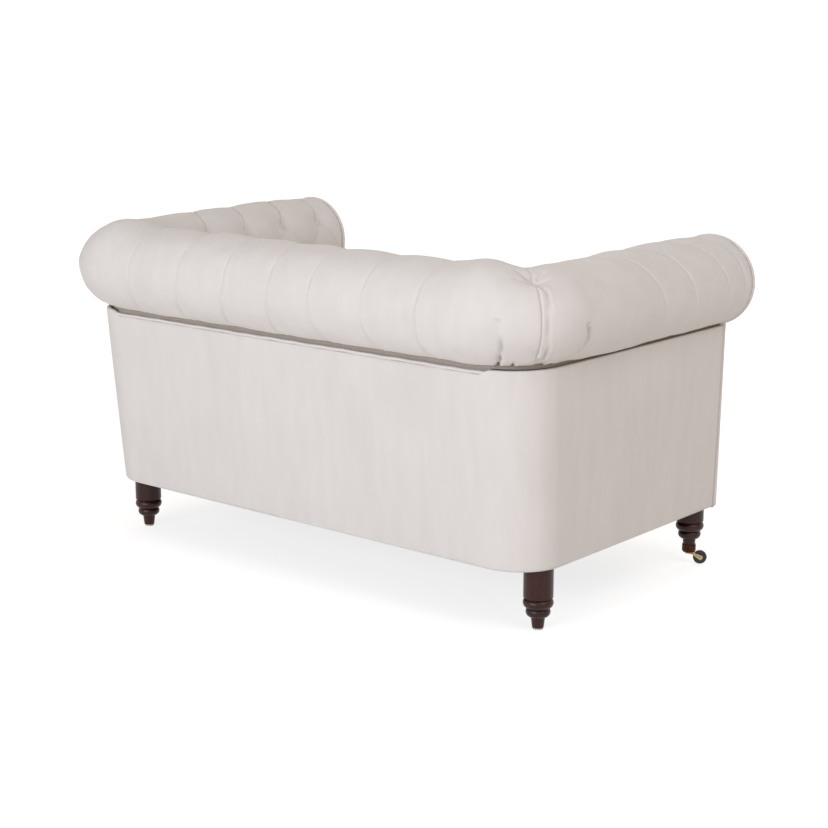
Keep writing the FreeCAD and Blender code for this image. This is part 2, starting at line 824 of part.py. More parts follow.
def arm_upholstery():
    """The right arm's pad with its corner eighth, and its buttons."""
    crest = float(roll_radius)
    dip = crest - float(size("pleat_depth"))
    start = float(facing_back)
    end = float(corner_y)
    pleats = arm_pleats[::-1]
    puffs = [(start, dip, (crest + dip) / 2, pleats[0], dip)]
    puffs += [crown(low, high, crest) for low, high in zip(pleats, pleats[1:])]
    puffs.append(half_crown(pleats[-1], end, crest))
    run = pleated_run([facing_left(puff) for puff in reversed(puffs)])
    hollows = []
    buttons = []
    for point, normal in tuft_rows([-pleat for pleat in reversed(pleats)], -end, -start):
        hollow, button = tuft(point - UP * float(roll_height), normal)
        hollows.append(hollow)
        buttons.append(button)
    run = run.cut(hollows)
    quarter = FreeCAD.Placement(Vector(float(arm_line), 0, float(roll_height)),
                                FreeCAD.Rotation(UP, -90))
    run.Placement = quarter
    for button in buttons:
        button.Placement = quarter.multiply(button.Placement)
    corner_hollow, _ = tuft(*corner_button_place())
    corner = corner_sector(0).cut(corner_crease()).cut(corner_hollow)
    return run.fuse(corner).removeSplitter(), Part.makeCompound(buttons)


pair(side_panel(), "outside_arm")
name(back_panel(), "outside_back")
cord = rod("BackPiping", size("piping_radius"), seam_x * 2)
piping_y = leaning(back_low, back_top, back_panel_top) - size("piping_radius")
bind_place(cord, -seam_x, piping_y, back_panel_top + size("piping_radius"))
cord.Placement.Rotation = FreeCAD.Rotation(Vector(0, 1, 0), 90)
name(cord, "back_piping")
pair(facing(), "arm_facing")
border_half = arm_line - roll_radius + size("facing_inset")
name(block("Border", (-border_half, front, base), (border_half, border_back, deck_top)),
     "front_border")
back_shape, back_button_shape = back_upholstery()
name(shaped("BackPad", back_shape), "back_pad")
name(shaped("BackButtons", back_button_shape), "back_buttons")
arm_shape, arm_button_shape = arm_upholstery()
pair(shaped("ArmPad", arm_shape), "arm_pad")
pair(shaped("ArmButtons", arm_button_shape), "arm_buttons")


def dust_cover():
    """Black cloth under the seat frame, cut out round the leg plates."""
    body = new_body("DustCover")
    inset = size("panel_gap")
    side = side_low - panel - inset
    reach = low_radius - panel - inset
    sketch = outline(body, "DustCoverPlan", "XY_Plane",
                     [(-side, border_back), (side, border_back), (side, bend_y), (seam_x, bend_y + reach),
                      (-seam_x, bend_y + reach), (-side, bend_y)],
                     {2: (reach, 1), 4: (reach, 1)})
    pad(body, sketch, size("cover_thickness"))
    hole = size("plate_radius") + inset * 2
    for tag, across, along in leg_places():
        cut = circle(body, tag + "CoverHole", "XY_Plane", across, along, hole)
        doc.recompute()
        pocket(body, cut, size("cover_thickness") * 3, middle=True)
    bind_place(body, z=frame_low - size("cover_thickness"))
    return body


def leg_places():
    """The four leg axes, named for their corners."""
    return (("FrontRight", leg_x, front_leg_y), ("FrontLeft", -leg_x, front_leg_y),
            ("RearRight", leg_x, rear_leg_y), ("RearLeft", -leg_x, rear_leg_y))


def turned_leg(tag, low, ankle_top, y):
    """A turned leg: tapered ankle, small bead, large bead and column."""
    body = new_body(tag)
    foot = size("foot_radius")
    ankle = size("ankle_radius")
    neck = size("neck_radius")
    column = size("column_radius")
    small = size("small_bead_height")
    large = size("large_bead_height")
    fullness = size("bead_fullness")
    small_top = ankle_top + small
    large_top = small_top + large
    lip = size("edge_round") / 2
    sketch = outline(
        body, tag + "Profile", "XZ_Plane",
        [(ZERO, low), (foot, low), (ankle, ankle_top), (ankle + lip, ankle_top), (neck, small_top),
         (neck + lip, small_top), (size("collar_radius"), large_top), (column - lip, large_top),
         (column, large_top + lip), (column, base), (ZERO, base)],
        {3: (small * fullness, 1), 5: (large * fullness, 1)})
    turn(body, sketch)
    bind_place(body, leg_x, y)
    return body


def leg_plate(body_tag, across, along):
    """A round steel plate with a bolt hole and four screw holes."""
    disc = rod(body_tag + "Disc", size("plate_radius"), size("plate_thickness"), across, along, base)
    bores = [rod(body_tag + "Bore", size("bolt_radius") + size("hole_clearance"),
                 size("plate_thickness"), across, along, base)]
    for number, (step_x, step_y) in enumerate(screw_steps()):
        bores.append(rod(f"{body_tag}Hole{number}", size("plate_screw_radius") + size("hole_clearance"),
                         size("plate_thickness"), across + step_x, along + step_y, base))
    return boolean("Part::Cut", body_tag + "Plate",
                   (disc, boolean("Part::MultiFuse", body_tag + "Bores", bores)))


def screw_steps():
    """Where the four plate screws stand round the leg's axis."""
    step = size("plate_screw_circle") * math.sqrt(0.5)
    return ((step, step), (-step, step), (-step, -step), (step, -step))


def plate_screws(tag, across, along):
    """Four countersunk screws, flush with the plate that they hold."""
    return [rod(f"{tag}Shank{number}", size("plate_screw_radius"), size("plate_screw_length"),
                across + step_x, along + step_y, base)
            for number, (step_x, step_y) in enumerate(screw_steps())]


name(dust_cover(), "dust_cover")
rear_leg_low = size("glide_thickness")
front_leg_low = size("cup_bottom") + size("cup_floor")
pair(turned_leg("RearLeg", rear_leg_low, size("rear_ankle_height"), rear_leg_y), "rear_leg")
front_leg = turned_leg("FrontLeg", front_leg_low, size("front_ankle_height"), front_leg_y)
pintle_bore = circle(front_leg, "PintleBore", "XY_Plane", ZERO, ZERO,
                     size("pintle_collar_radius") + size("hole_clearance"))
doc.recompute()
pocket(front_leg, pintle_bore, size("cup_bottom") + size("pintle_length") + size("hole_clearance"),
       reverse=True)
pair(front_leg, "front_leg")
name(boolean("Part::Compound", "Plates",
             [leg_plate(tag, across, along) for tag, across, along in leg_places()]), "leg_plates")
name(boolean("Part::Compound", "PlateScrews",
             [screw for tag, across, along in leg_places()
              for screw in plate_screws(tag, across, along)]), "plate_screws")
bolt_low = base - size("bolt_in_leg")
bolt_length = size("bolt_in_leg") + size("plate_thickness") + size("bolt_in_block")
name(boolean("Part::Compound", "Bolts",
             [rod(tag + "Bolt", size("bolt_radius"), bolt_length, across, along, bolt_low)
              for tag, across, along in leg_places()]), "leg_bolts")
name(boolean("Part::Compound", "Glides",
             [rod(tag + "Glide", size("glide_radius"), size("glide_thickness"), across, along)
              for tag, across, along in leg_places() if tag.startswith("Rear")]), "rear_glides")


def castor_place(body, height=ZERO):
    """Turns a castor piece to its trailing side under the right front leg."""
    bind_place(body, leg_x, front_leg_y, height)
    body.Placement.Rotation = FreeCAD.Rotation(UP, 0)
    body.setExpression("Placement.Rotation.Angle", (-size("castor_trail_angle")).text)
    return body


def castor_cup():
    """The socket that holds the leg's end, with a floor for the swivel post."""
    body = new_body("CastorCup")
    inner = leg_radius_at(size("cup_bottom") + size("cup_height")) + size("hole_clearance")
    outer = inner + size("cup_wall")
    bore = size("pintle_radius") + size("running_clearance")
    low = size("cup_bottom")
    floor = low + size("cup_floor")
    top = low + size("cup_height")
    sketch = outline(body, "CupProfile", "XZ_Plane",
                     [(bore, low), (outer - size("cup_wall"), low), (outer, floor), (outer, top),
                      (inner, top), (inner, floor), (bore, floor)])
    turn(body, sketch)
    return castor_place(body)


def leg_radius_at(height):
    """The front leg's radius on its tapered ankle."""
    foot = size("foot_radius")
    rise = (height - front_leg_low) / (size("front_ankle_height") - front_leg_low)
    return foot + (size("ankle_radius") - foot) * rise


def castor_fork():
    """Disc, swivel post and two prongs that hold the axle behind the post."""
    body = new_body("CastorFork")
    trail = size("castor_trail")
    eye = size("fork_eye_radius")
    disc = size("fork_disc_radius")
    top = size("cup_bottom") - size("hole_clearance")
    disc_low = top - size("fork_disc_thickness")
    axle_z = size("wheel_radius")
    half_gap = size("wheel_width") / 2 + size("wheel_side_gap")
    width = (half_gap + size("fork_thickness")) * 2
    side = outline(body, "ForkSide", "XZ_Plane",
                   [(-disc * FORK_TAIL_SHARE, top), (disc * FORK_NOSE_SHARE, top), (trail, axle_z + eye),
                    (trail + eye, axle_z), (trail, axle_z - eye),
                    (trail - eye * FORK_NOSE_SHARE, axle_z - eye * FORK_TAIL_SHARE),
                    (disc * FORK_NOSE_SHARE, disc_low - eye * FORK_THROAT_SHARE),
                    (-disc * FORK_TAIL_SHARE, disc_low)],
                   {2: (eye, -1), 3: (eye, -1)})
    pad(body, side, width, middle=True)
    doc.recompute()
    wheel_room = circle(body, "WheelRoom", "XZ_Plane", trail, axle_z,
                        size("wheel_radius") + size("wheel_tread_gap"))
    pocket(body, wheel_room, half_gap * 2, middle=True)
    doc.recompute()
    axle_hole = circle(body, "AxleHole", "XZ_Plane", trail, axle_z,
                       size("axle_radius") + size("running_clearance"))
    pocket(body, axle_hole, width * 2, middle=True)
    post = size("pintle_radius")
    collar = size("pintle_collar_radius")
    collar_low = size("cup_bottom") + size("cup_floor") + size("hole_clearance")
    collar_top = collar_low + size("pintle_collar_thickness")
    post_top = size("cup_bottom") + size("pintle_length")
    swivel = outline(body, "SwivelProfile", "XZ_Plane",
                     [(ZERO, disc_low), (disc, disc_low), (disc, top), (post, top), (post, collar_low),
                      (collar, collar_low), (collar, collar_top), (post, collar_top),
                      (post, post_top), (ZERO, post_top)])
    turn(body, swivel)
    return castor_place(body)


def axle_place(body):
    """Lays a turned piece along the castor's axle."""
    angle = size("castor_trail_angle")
    radians = math.radians(float(angle))
    trail = size("castor_trail")
    body.Placement.Rotation = FreeCAD.Rotation(UP, -float(angle)).multiply(
        FreeCAD.Rotation(Vector(1, 0, 0), 90))
    bind_place(body, leg_x + trail * Size(f"cos({angle.text} * 1 deg)", math.cos(radians)),
               front_leg_y - trail * Size(f"sin({angle.text} * 1 deg)", math.sin(radians)),
               size("wheel_radius"))
    return body


def castor_axle():
    """The riveted axle pin with a head on each side of the fork."""
    body = new_body("CastorAxle")
    half = (size("wheel_width") / 2 + size("wheel_side_gap") + size("fork_thickness")
            + size("running_clearance"))
    end = half + size("axle_head_thickness")
    pin = size("axle_radius")
    head = size("axle_head_radius")
    sketch = outline(body, "AxleProfile", "XZ_Plane",
                     [(ZERO, -end), (head, -end), (head, -half), (pin, -half), (pin, half),
                      (head, half), (head, end), (ZERO, end)])
    turn(body, sketch)
    return axle_place(body)


def castor_wheel():
    """A small solid wheel with rounded tread edges and a bored hub."""
    body = new_body("CastorWheel")
    half = size("wheel_width") / 2
    tread = size("wheel_radius")
    easing = size("wheel_easing")
    bore = size("axle_radius") + size("running_clearance")
    sketch = outline(body, "WheelProfile", "XZ_Plane",
                     [(bore, -half), (tread - easing, -half), (tread, easing - half),
                      (tread, half - easing), (tread - easing, half), (bore, half)],
                     {1: (easing, 1), 3: (easing, 1)})
    turn(body, sketch)
    return axle_place(body)


def cup_screws():
    """A small screw through each side of the cup into the leg's end."""
    angle = float(size("castor_trail_angle")) + 90
    length = float(size("cup_screw_length"))
    outer = float(leg_radius_at(size("cup_bottom") + size("cup_height")) + size("hole_clearance")
                  + size("cup_wall"))
    level = float(size("cup_bottom") + size("cup_height") * CUP_SCREW_SHARE)
    proud = float(size("cup_screw_proud"))
    screws = []
    for side in (0, 180):
        away = FreeCAD.Rotation(UP, side - angle).multVec(Vector(1, 0, 0))
        start = Vector(float(leg_x), float(front_leg_y), level) + away * (outer + proud - length)
        screws.append(Part.makeCylinder(float(size("cup_screw_radius")), length, start, away))
    both = screws + [mirror_shape(screw) for screw in screws]
    return Part.makeCompound(both)


pair(castor_cup(), "castor_cup")
pair(castor_fork(), "castor_fork")
pair(castor_axle(), "castor_axle")
pair(castor_wheel(), "castor_wheel")
name(shaped("CupScrews", cup_screws()), "castor_screws")


def rounded_ring(low_x, high_x, low_y, high_y, radius, level):
    """A rectangle with round corners, as one closed wire."""
    slant = radius * (1 - math.sqrt(0.5))
    corners = ((high_x, low_y, -1, 1), (high_x, high_y, -1, -1), (low_x, high_y, 1, -1), (low_x, low_y, 1, 1))
    stops = []
    for x, y, inward_x, inward_y in corners:
        on_side = Vector(x, y + inward_y * radius, level)
        on_end = Vector(x + inward_x * radius, y, level)
        middle = Vector(x + inward_x * slant, y + inward_y * slant, level)
        ends = (on_end, middle, on_side) if inward_x * inward_y < 0 else (on_side, middle, on_end)
        stops.append(ends)
    edges = []
    for index, (start, middle, end) in enumerate(stops):
        edges.append(Part.Arc(start, middle, end).toShape())
        edges.append(Part.LineSegment(end, stops[(index + 1) % len(stops)][0]).toShape())
    return Part.Wire(edges)


def seat_cushion():
    """The right seat cushion: flat below, sides drawn in at both seams, crowned above."""
    gap = float(size("cushion_middle_gap")) / 2
    side = float(arm_inside - size("cushion_side_gap"))
    front_y = float(front + size("cushion_front_set_back"))
    back_y = float(back_inside - size("cushion_back_gap"))
    low = float(deck_top + size("soft_gap"))
    height = float(size("cushion_height"))
    corner = float(size("cushion_corner_radius"))
    draw = float(size("seam_draw"))
    crown_width = (side - gap) / 2 * CROWN_WIDTH_SHARE
    levels = [(share, draw * inset) for share, inset in CUSHION_SIDES]
    levels += [(share, crown_width * inset) for share, inset in CUSHION_CROWN]
    rings = [rounded_ring(gap + inset, side - inset, front_y + inset, back_y - inset,
                          corner + inset / 4, low + height * share)
             for share, inset in levels]
    return Part.makeLoft(rings, True, True)


pair(shaped("SeatCushion", seat_cushion()), "seat_cushion")

doc.recompute()
for piece in doc.Objects:
    if "Invalid" in piece.State or "Error" in piece.State:
        raise RuntimeError(f"{piece.Name} did not build: {piece.State}")
for piece in SUBPARTS:
    if piece.Shape.isNull() or not piece.Shape.isValid():
        raise RuntimeError(f"{piece.Label} has no valid shape")

os.makedirs("parts", exist_ok=True)
for piece in SUBPARTS:
    piece.Shape.exportStep(f"parts/{piece.Label}.step")
print(f"{len(SUBPARTS)} sub-parts written")
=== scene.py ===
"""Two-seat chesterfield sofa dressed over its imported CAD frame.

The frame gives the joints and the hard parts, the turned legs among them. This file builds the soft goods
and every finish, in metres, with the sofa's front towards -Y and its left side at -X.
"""

import logging
import math
from dataclasses import dataclass, field
from enum import Enum
from typing import Any

import bmesh
import bpy
import numpy as np
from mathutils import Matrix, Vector
from mathutils.bvhtree import BVHTree
from mathutils.geometry import delaunay_2d_cdt
from mathutils.kdtree import KDTree


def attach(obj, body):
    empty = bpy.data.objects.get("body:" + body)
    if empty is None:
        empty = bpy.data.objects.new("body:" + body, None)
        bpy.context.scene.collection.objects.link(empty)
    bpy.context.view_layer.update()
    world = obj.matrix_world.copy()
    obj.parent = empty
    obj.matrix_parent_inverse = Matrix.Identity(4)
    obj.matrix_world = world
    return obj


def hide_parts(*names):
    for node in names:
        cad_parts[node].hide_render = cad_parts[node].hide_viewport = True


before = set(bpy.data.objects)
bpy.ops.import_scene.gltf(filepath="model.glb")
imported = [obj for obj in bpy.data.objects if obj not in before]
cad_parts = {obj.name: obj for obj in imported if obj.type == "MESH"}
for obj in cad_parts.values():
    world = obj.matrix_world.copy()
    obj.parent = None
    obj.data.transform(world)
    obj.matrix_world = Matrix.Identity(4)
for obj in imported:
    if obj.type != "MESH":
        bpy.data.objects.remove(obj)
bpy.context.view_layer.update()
LOG = logging.getLogger("sofa")
ROOT = "frame"
MM = 0.001

Array = np.ndarray
Triple = tuple[float, float, float]
Tree = bpy.types.NodeTree
Node = bpy.types.Node
Socket = bpy.types.NodeSocket
Sockets = dict[Any, Any]
Piece = bpy.types.Object


class Side(Enum):
    """The sofa's two sides, with the sign of X on each."""

    LEFT = -1
    RIGHT = 1

    @property
    def label(self) -> str:
        """The side's word in node and body names."""
        return self.name.lower()


def linear(hex_code: str, alpha: float = 1.0) -> tuple[float, float, float, float]:
    """Turns an sRGB hex colour to linear.

    Args:
        hex_code: six hex digits.
        alpha: the fourth value.

    Returns:
        Linear red, green, blue and alpha.
    """
    parts = [int(hex_code[i : i + 2], 16) / 255 for i in (0, 2, 4)]
    low, slope, shift, power = 0.04045, 12.92, 0.055, 2.4
    red, green, blue = (c / slope if c <= low else ((c + shift) / (1 + shift)) ** power for c in parts)
    return red, green, blue, alpha


def add_node(tree: Tree, kind: str, links: Sockets | None = None, **settings: Any) -> Node:
    """Adds one node with its settings, input values and links.

    Args:
        tree: the tree to add to.
        kind: the node's type name.
        links: input name or index, to a value or to the output socket that feeds it.
        **settings: the node's own properties.

    Returns:
        The new node.
    """
    node = tree.nodes.new(kind)
    for name, value in settings.items():
        setattr(node, name, value)
    for name, value in (links or {}).items():
        socket = node.inputs[name]
        if isinstance(value, Socket):
            tree.links.new(value, socket)
        else:
            socket.default_value = value
    return node


def patches(tree: Tree, place: Socket, size: float, detail: float = 2.0,
            stretch: Triple = (1.0, 1.0, 1.0)) -> Socket:
    """Adds a pattern of soft patches that have a real size.

    Args:
        tree: the tree to add to.
        place: the coordinates, in metres.
        size: length of one patch in metres.
        detail: octaves.
        stretch: how many times longer the patches are along each axis.

    Returns:
        The pattern's socket, 0 to 1.
    """
    scale = tuple(1 / (size * s) for s in stretch)
    mapped = add_node(tree, "ShaderNodeMapping", {"Vector": place, "Scale": scale})
    inputs = {"Vector": mapped.outputs[0], "Scale": 1.0, "Detail": detail}
    pattern = add_node(tree, "ShaderNodeTexNoise", inputs)
    return pattern.outputs["Fac"]


def mean(tree: Tree, first: Socket, second: Socket) -> Socket:
    """Adds the mean of two patterns and returns its socket."""
    both = add_node(tree, "ShaderNodeMath", {0: first, 1: second}, operation="ADD")
    return add_node(tree, "ShaderNodeMath", {0: both.outputs[0], 1: 0.5}, operation="MULTIPLY").outputs[0]


def two_tone(tree: Tree, shader: Node, pattern: Socket, *shades: tuple[float, str]) -> None:
    """Colours a shader between two shades.

    Args:
        tree: the material's tree.
        shader: the shader that takes the colour.
        pattern: the pattern that chooses between them.
        *shades: the pattern's value and the hex colour of each shade.
    """
    blend = add_node(tree, "ShaderNodeValToRGB", {"Fac": pattern})
    for element, (value, code) in zip(blend.color_ramp.elements, shades):
        element.position = value
        element.color = linear(code)
    tree.links.new(blend.outputs["Color"], shader.inputs["Base Color"])


def vary_roughness(tree: Tree, shader: Node, pattern: Socket, low: float, high: float) -> None:
    """Makes a shader's roughness go from low, where the pattern is 0, to high, where it is 1."""
    rough = add_node(tree, "ShaderNodeMapRange", {"Value": pattern, "To Min": low, "To Max": high})
    tree.links.new(rough.outputs[0], shader.inputs["Roughness"])


@dataclass(frozen=True)
class Finish:
    """A material made of procedural nodes. Each subclass is one real finish."""

    name: str

    def build(self) -> bpy.types.Material:
        """Returns the material, made once."""
        found = bpy.data.materials.get(self.name)
        if found is not None:
            return found
        material = bpy.data.materials.new(self.name)
        material.use_nodes = True
        tree = material.node_tree
        tree.nodes.clear()
        shader = add_node(tree, "ShaderNodeBsdfPrincipled")
        place = add_node(tree, "ShaderNodeTexCoord").outputs["Object"]
        self.dress(tree, shader, place)
        add_node(tree, "ShaderNodeOutputMaterial", {"Surface": shader.outputs[0]})
        return material

    def dress(self, tree: Tree, shader: Node, place: Socket) -> None:
        """Sets the shader's values and patterns.

        Args:
            tree: the material's tree.
            shader: its Principled shader.
            place: Object coordinates in metres.
        """
        raise NotImplementedError


def set_inputs(shader: Node, **values: float) -> None:
    """Sets a shader's own sockets.

    Args:
        shader: the node.
        **values: socket names with underscores for spaces.
    """
    for name, value in values.items():
        shader.inputs[name.replace("_", " ")].default_value = value


def emboss(tree: Tree, shader: Node, height: Socket, depth: float, under: Socket | None = None) -> Socket:
    """Raises a shader's surface by a pattern, over an earlier one if given.

    Args:
        tree: the material's tree.
        shader: the shader that takes it.
        height: the height pattern, 0 to 1.
        depth: what 1 stands for, in metres.
        under: the normal socket of the pattern below.

    Returns:
        The new normal socket.
    """
    inputs: Sockets = {"Height": height, "Distance": depth, "Strength": 1.0}
    if under is not None:
        inputs["Normal"] = under
    normal = add_node(tree, "ShaderNodeBump", inputs).outputs[0]
    tree.links.new(normal, shader.inputs["Normal"])
    return normal


@dataclass(frozen=True)
class Velvet(Finish):
    """Short-pile cotton velvet, ivory: brushed in patches, with a pale sheen at grazing angles."""

    name: str = "cotton_velvet_ivory"
    light: str = "E6E3E0"
    deep: str = "E1DEDB"
    patch: float = 0.16
    stroke: float = 0.03
    pile: float = 0.0016
    thread: float = 0.0012

    def dress(self, tree: Tree, shader: Node, place: Socket) -> None:
        """Sets the shader's values and patterns, as Finish.dress says."""
        brushed = patches(tree, place, self.patch, 3.0, (1.0, 1.0, 1.8))
        streaks = patches(tree, place, self.stroke, 2.0, (1.0, 1.0, 5.0))
        nap = mean(tree, brushed, streaks)
        two_tone(tree, shader, nap, (0.36, self.deep), (0.64, self.light))
        vary_roughness(tree, shader, nap, 0.96, 0.88)
        # Pile tufts stand about 1.6 mm apart here, twice the real pitch, so that they show.
        tufts = patches(tree, place, self.pile, 1.0)
        per_metre = 1 / (self.thread * 2 * math.pi)
        rows = add_node(tree, "ShaderNodeTexWave",
                        {"Vector": place, "Scale": per_metre, "Distortion": 1.5, "Detail": 1.0},
                        wave_type="BANDS", bands_direction="Z")
        low = emboss(tree, shader, tufts, 0.00022)
        emboss(tree, shader, rows.outputs["Fac"], 0.00006, low)
        set_inputs(shader, Specular_IOR_Level=0.18, Sheen_Weight=0.22, Sheen_Roughness=0.45)
        shader.inputs["Sheen Tint"].default_value = linear("FFFBF5")


@dataclass(frozen=True)
class TurnedWood(Finish):
    """Espresso-stained beech under gloss lacquer, turned on a lathe: long dark grain, a clear coat on top."""

    name: str = "stained_beech_lacquered"
    dark: str = "200B06"
    mid: str = "3A160D"
    fibre: float = 0.0022
    figure: float = 0.012

    def dress(self, tree: Tree, shader: Node, place: Socket) -> None:
        """Sets the shader's values and patterns, as Finish.dress says."""
        grain = patches(tree, place, self.fibre, 4.0, (1.0, 1.0, 14.0))
        figure = patches(tree, place, self.figure, 2.0, (1.0, 1.0, 6.0))
        two_tone(tree, shader, mean(tree, grain, figure), (0.35, self.dark), (0.62, self.mid))
        vary_roughness(tree, shader, grain, 0.3, 0.42)
        emboss(tree, shader, grain, 0.00005)
        set_inputs(shader, Coat_Weight=0.12, Coat_Roughness=0.12, Specular_IOR_Level=0.25)


@dataclass(frozen=True)
class Metal(Finish):
    """A bare or plated metal: fine wear marks lift the roughness and darken the colour in patches."""

    light: str = "C9A257"
    dull: str = "8C6A34"
    rough: float = 0.24
    mark: float = 0.006
    along: Triple = (1.0, 1.0, 1.0)
    relief: float = 0.00002

    def dress(self, tree: Tree, shader: Node, place: Socket) -> None:
        """Sets the shader's values and patterns, as Finish.dress says."""
        wear = patches(tree, place, self.mark, 5.0, self.along)
        two_tone(tree, shader, wear, (0.3, self.dull), (0.55, self.light))
        vary_roughness(tree, shader, wear, self.rough + 0.16, self.rough)
        emboss(tree, shader, wear, self.relief)
        set_inputs(shader, Metallic=1.0)


@dataclass(frozen=True)
class Plastic(Finish):
    """Moulded plastic with a fine spark-eroded skin and light scuffs."""

    colour: str = "17171A"
    scuff: str = "2C2C30"
    grain: float = 0.0007
    rough: float = 0.42

    def dress(self, tree: Tree, shader: Node, place: Socket) -> None:
        """Sets the shader's values and patterns, as Finish.dress says."""
        scuffs = patches(tree, place, 0.009, 4.0)
        skin = patches(tree, place, self.grain, 1.0)
        two_tone(tree, shader, scuffs, (0.45, self.colour), (0.75, self.scuff))
        vary_roughness(tree, shader, scuffs, self.rough, self.rough + 0.2)
        emboss(tree, shader, skin, 0.00003)


@dataclass(frozen=True)
class SawnTimber(Finish):
    """Kiln-dried sawn softwood and birch: pale, with growth lines and saw fuzz along each board."""

    name: str = "sawn_birch"
    pale: str = "CDB288"
    ring: str = "A88455"
    line: float = 0.006

    def dress(self, tree: Tree, shader: Node, place: Socket) -> None:
        """Sets the shader's values and patterns, as Finish.dress says."""
        rings = patches(tree, place, self.line, 3.0, (9.0, 9.0, 1.0))
        fuzz = patches(tree, place, 0.0015, 2.0)
        two_tone(tree, shader, rings, (0.35, self.ring), (0.6, self.pale))
        emboss(tree, shader, fuzz, 0.0002)
        set_inputs(shader, Roughness=0.8)


@dataclass(frozen=True)
class Woven(Finish):
    """A plain woven or needled cloth: crossing threads of one pitch, with slubs in the colour."""

    light: str = "B59A6B"
    dark: str = "7E6640"
    pitch: float = 0.002
    relief: float = 0.0003

    def dress(self, tree: Tree, shader: Node, place: Socket) -> None:
        """Sets the shader's values and patterns, as Finish.dress says."""
        per_metre = 1 / (self.pitch * 2 * math.pi) * math.pi
        thread = {"Vector": place, "Scale": per_metre, "Distortion": 0.6, "Detail": 1.0}
        waves = [
            add_node(tree, "ShaderNodeTexWave", thread,
                     wave_type="BANDS", bands_direction=axis).outputs["Fac"]
            for axis in ("X", "Y", "Z")
        ]
        crossed = add_node(tree, "ShaderNodeMath", {0: waves[0], 1: waves[1]}, operation="MULTIPLY")
        threads = add_node(tree, "ShaderNodeMath", {0: crossed.outputs[0], 1: waves[2]}, operation="MAXIMUM")
        slubs = patches(tree, place, self.pitch * 4, 3.0)
        two_tone(tree, shader, slubs, (0.35, self.dark), (0.65, self.light))
        emboss(tree, shader, threads.outputs[0], self.relief)
        set_inputs(shader, Roughness=0.92, Specular_IOR_Level=0.2, Sheen_Weight=0.1)


VELVET = Velvet()
LEG_WOOD = TurnedWood()
# Polished cast brass of the castors: warm, mirror-like where it is rubbed.
BRASS = Metal("polished_brass", "B9A37C", "7C6743")
# Brass of the castor cups, coloured dark brown all over, a little lighter in patches.
DARK_BROWN_BRASS = Metal("dark_brown_brass", "4A2E20", "2A1710", 0.36)
# Oil-tempered spring wire: grey-blue, drawn along its length.
SPRING_STEEL = Metal("tempered_spring_steel", "8D9093", "5A5D61", 0.3, 0.004)
# Bright zinc plating on pressed plates, bolts and clips: pale grey spangle.
ZINC = Metal("zinc_plated_steel", "C8CACB", "9EA2A5", 0.34, 0.005)
# Acetal of the castor wheels: black, waxy.
WHEEL_PLASTIC = Plastic("black_acetal")
# Nylon of the rear glides: off-white, matt.
GLIDE_PLASTIC = Plastic("white_nylon", "D8D5CC", "B9B5AA", 0.0008, 0.5)
TIMBER = SawnTimber()
# Jute webbing: coarse 2 mm threads, straw brown.
JUTE = Woven("jute_webbing")
# Needled wool felt over the springs: undyed, fibrous.
FELT = Woven("needled_felt_natural", "CFC9C0", "B9B2A8", 0.0015, 0.0004)
# Undyed calico that lines the underside of the rolls: matt, closely woven.
# Its grey-brown, darker than the velvet, is partly painted shade for the gap under the roll.
CALICO_SHADE_LINING = Woven("calico_lining_painted_shade", "BAB0A7", "A69C93", 0.0008, 0.0001)
# Spun-bonded polypropylene dust cloth: black, with a fine point-bonded grid.
DUST_CLOTH = Woven("spunbond_polypropylene_black", "2B2B2C", "1C1C1D", 0.0012, 0.0001)


def make_object(name: str, points: Array, faces: Array | list, smooth: bool = True) -> Piece:
    """Makes a mesh object at the origin.

    Args:
        name: the piece's name.
        points: vertices in metres, (n, 3).
        faces: corner indices, one row or list for each face.
        smooth: whether faces are shaded smooth.

    Returns:
        The linked object.
    """
    mesh = bpy.data.meshes.new(name)
    mesh.from_pydata(np.asarray(points, float).tolist(), [], [list(map(int, f)) for f in faces])
    mesh.update()
    mesh.polygons.foreach_set("use_smooth", np.full(len(mesh.polygons), smooth))
    piece = bpy.data.objects.new(name, mesh)
    bpy.context.scene.collection.objects.link(piece)
    return piece


def grid_faces(rows: int, columns: int, close_rows: bool = False, close_columns: bool = False,
               start: int = 0) -> Array:
    """Corner indices of a grid's quads, counted row by row.

    Args:
        rows: points along the first axis.
        columns: points along the second axis.
        close_rows: whether the last row joins the first.
        close_columns: whether the last column joins the first.
        start: index of the first point.

    Returns:
        Quads, (n, 4).
    """
    i = np.arange(rows if close_rows else rows - 1)[:, None]
    j = np.arange(columns if close_columns else columns - 1)[None, :]
    after_i = (i + 1) % rows
    after_j = (j + 1) % columns
    quads = [i * columns + j, after_i * columns + j, after_i * columns + after_j, i * columns + after_j]
    return np.stack([np.broadcast_to(q, (i.size, j.size)) for q in quads], -1).reshape(-1, 4) + start


def outward(piece: Piece) -> Piece:
    """Turns a closed piece's faces outwards and returns it."""
    work = bmesh.new()
    work.from_mesh(piece.data)
    bmesh.ops.remove_doubles(work, verts=work.verts, dist=1e-6)
    bmesh.ops.recalc_face_normals(work, faces=work.faces)
    work.to_mesh(piece.data)
    work.free()
    return piece


def place_piece(piece: Piece, finish: Finish, body: str, nodes: tuple[str, ...] = ()) -> Piece:
    """Gives a piece its finish and body, and hides the CAD nodes that it replaces.

    Args:
        piece: the finished mesh.
        finish: its material.
        body: the CAD body it rides on.
        nodes: CAD nodes that it replaces.

    Returns:
        The piece.
    """
    piece.data.materials.clear()
    piece.data.materials.append(finish.build())
    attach(piece, body)
    if nodes:
        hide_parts(*nodes)
    LOG.info("%s on %s: %d faces", piece.name, body, len(piece.data.polygons))
    return piece


def smooth_step(value: Array, low: float, high: float) -> Array:
    """Rises smoothly from 0 at low to 1 at high."""
    t = np.clip((np.asarray(value, float) - low) / (high - low), 0, 1)
    return t * t * (3 - 2 * t)


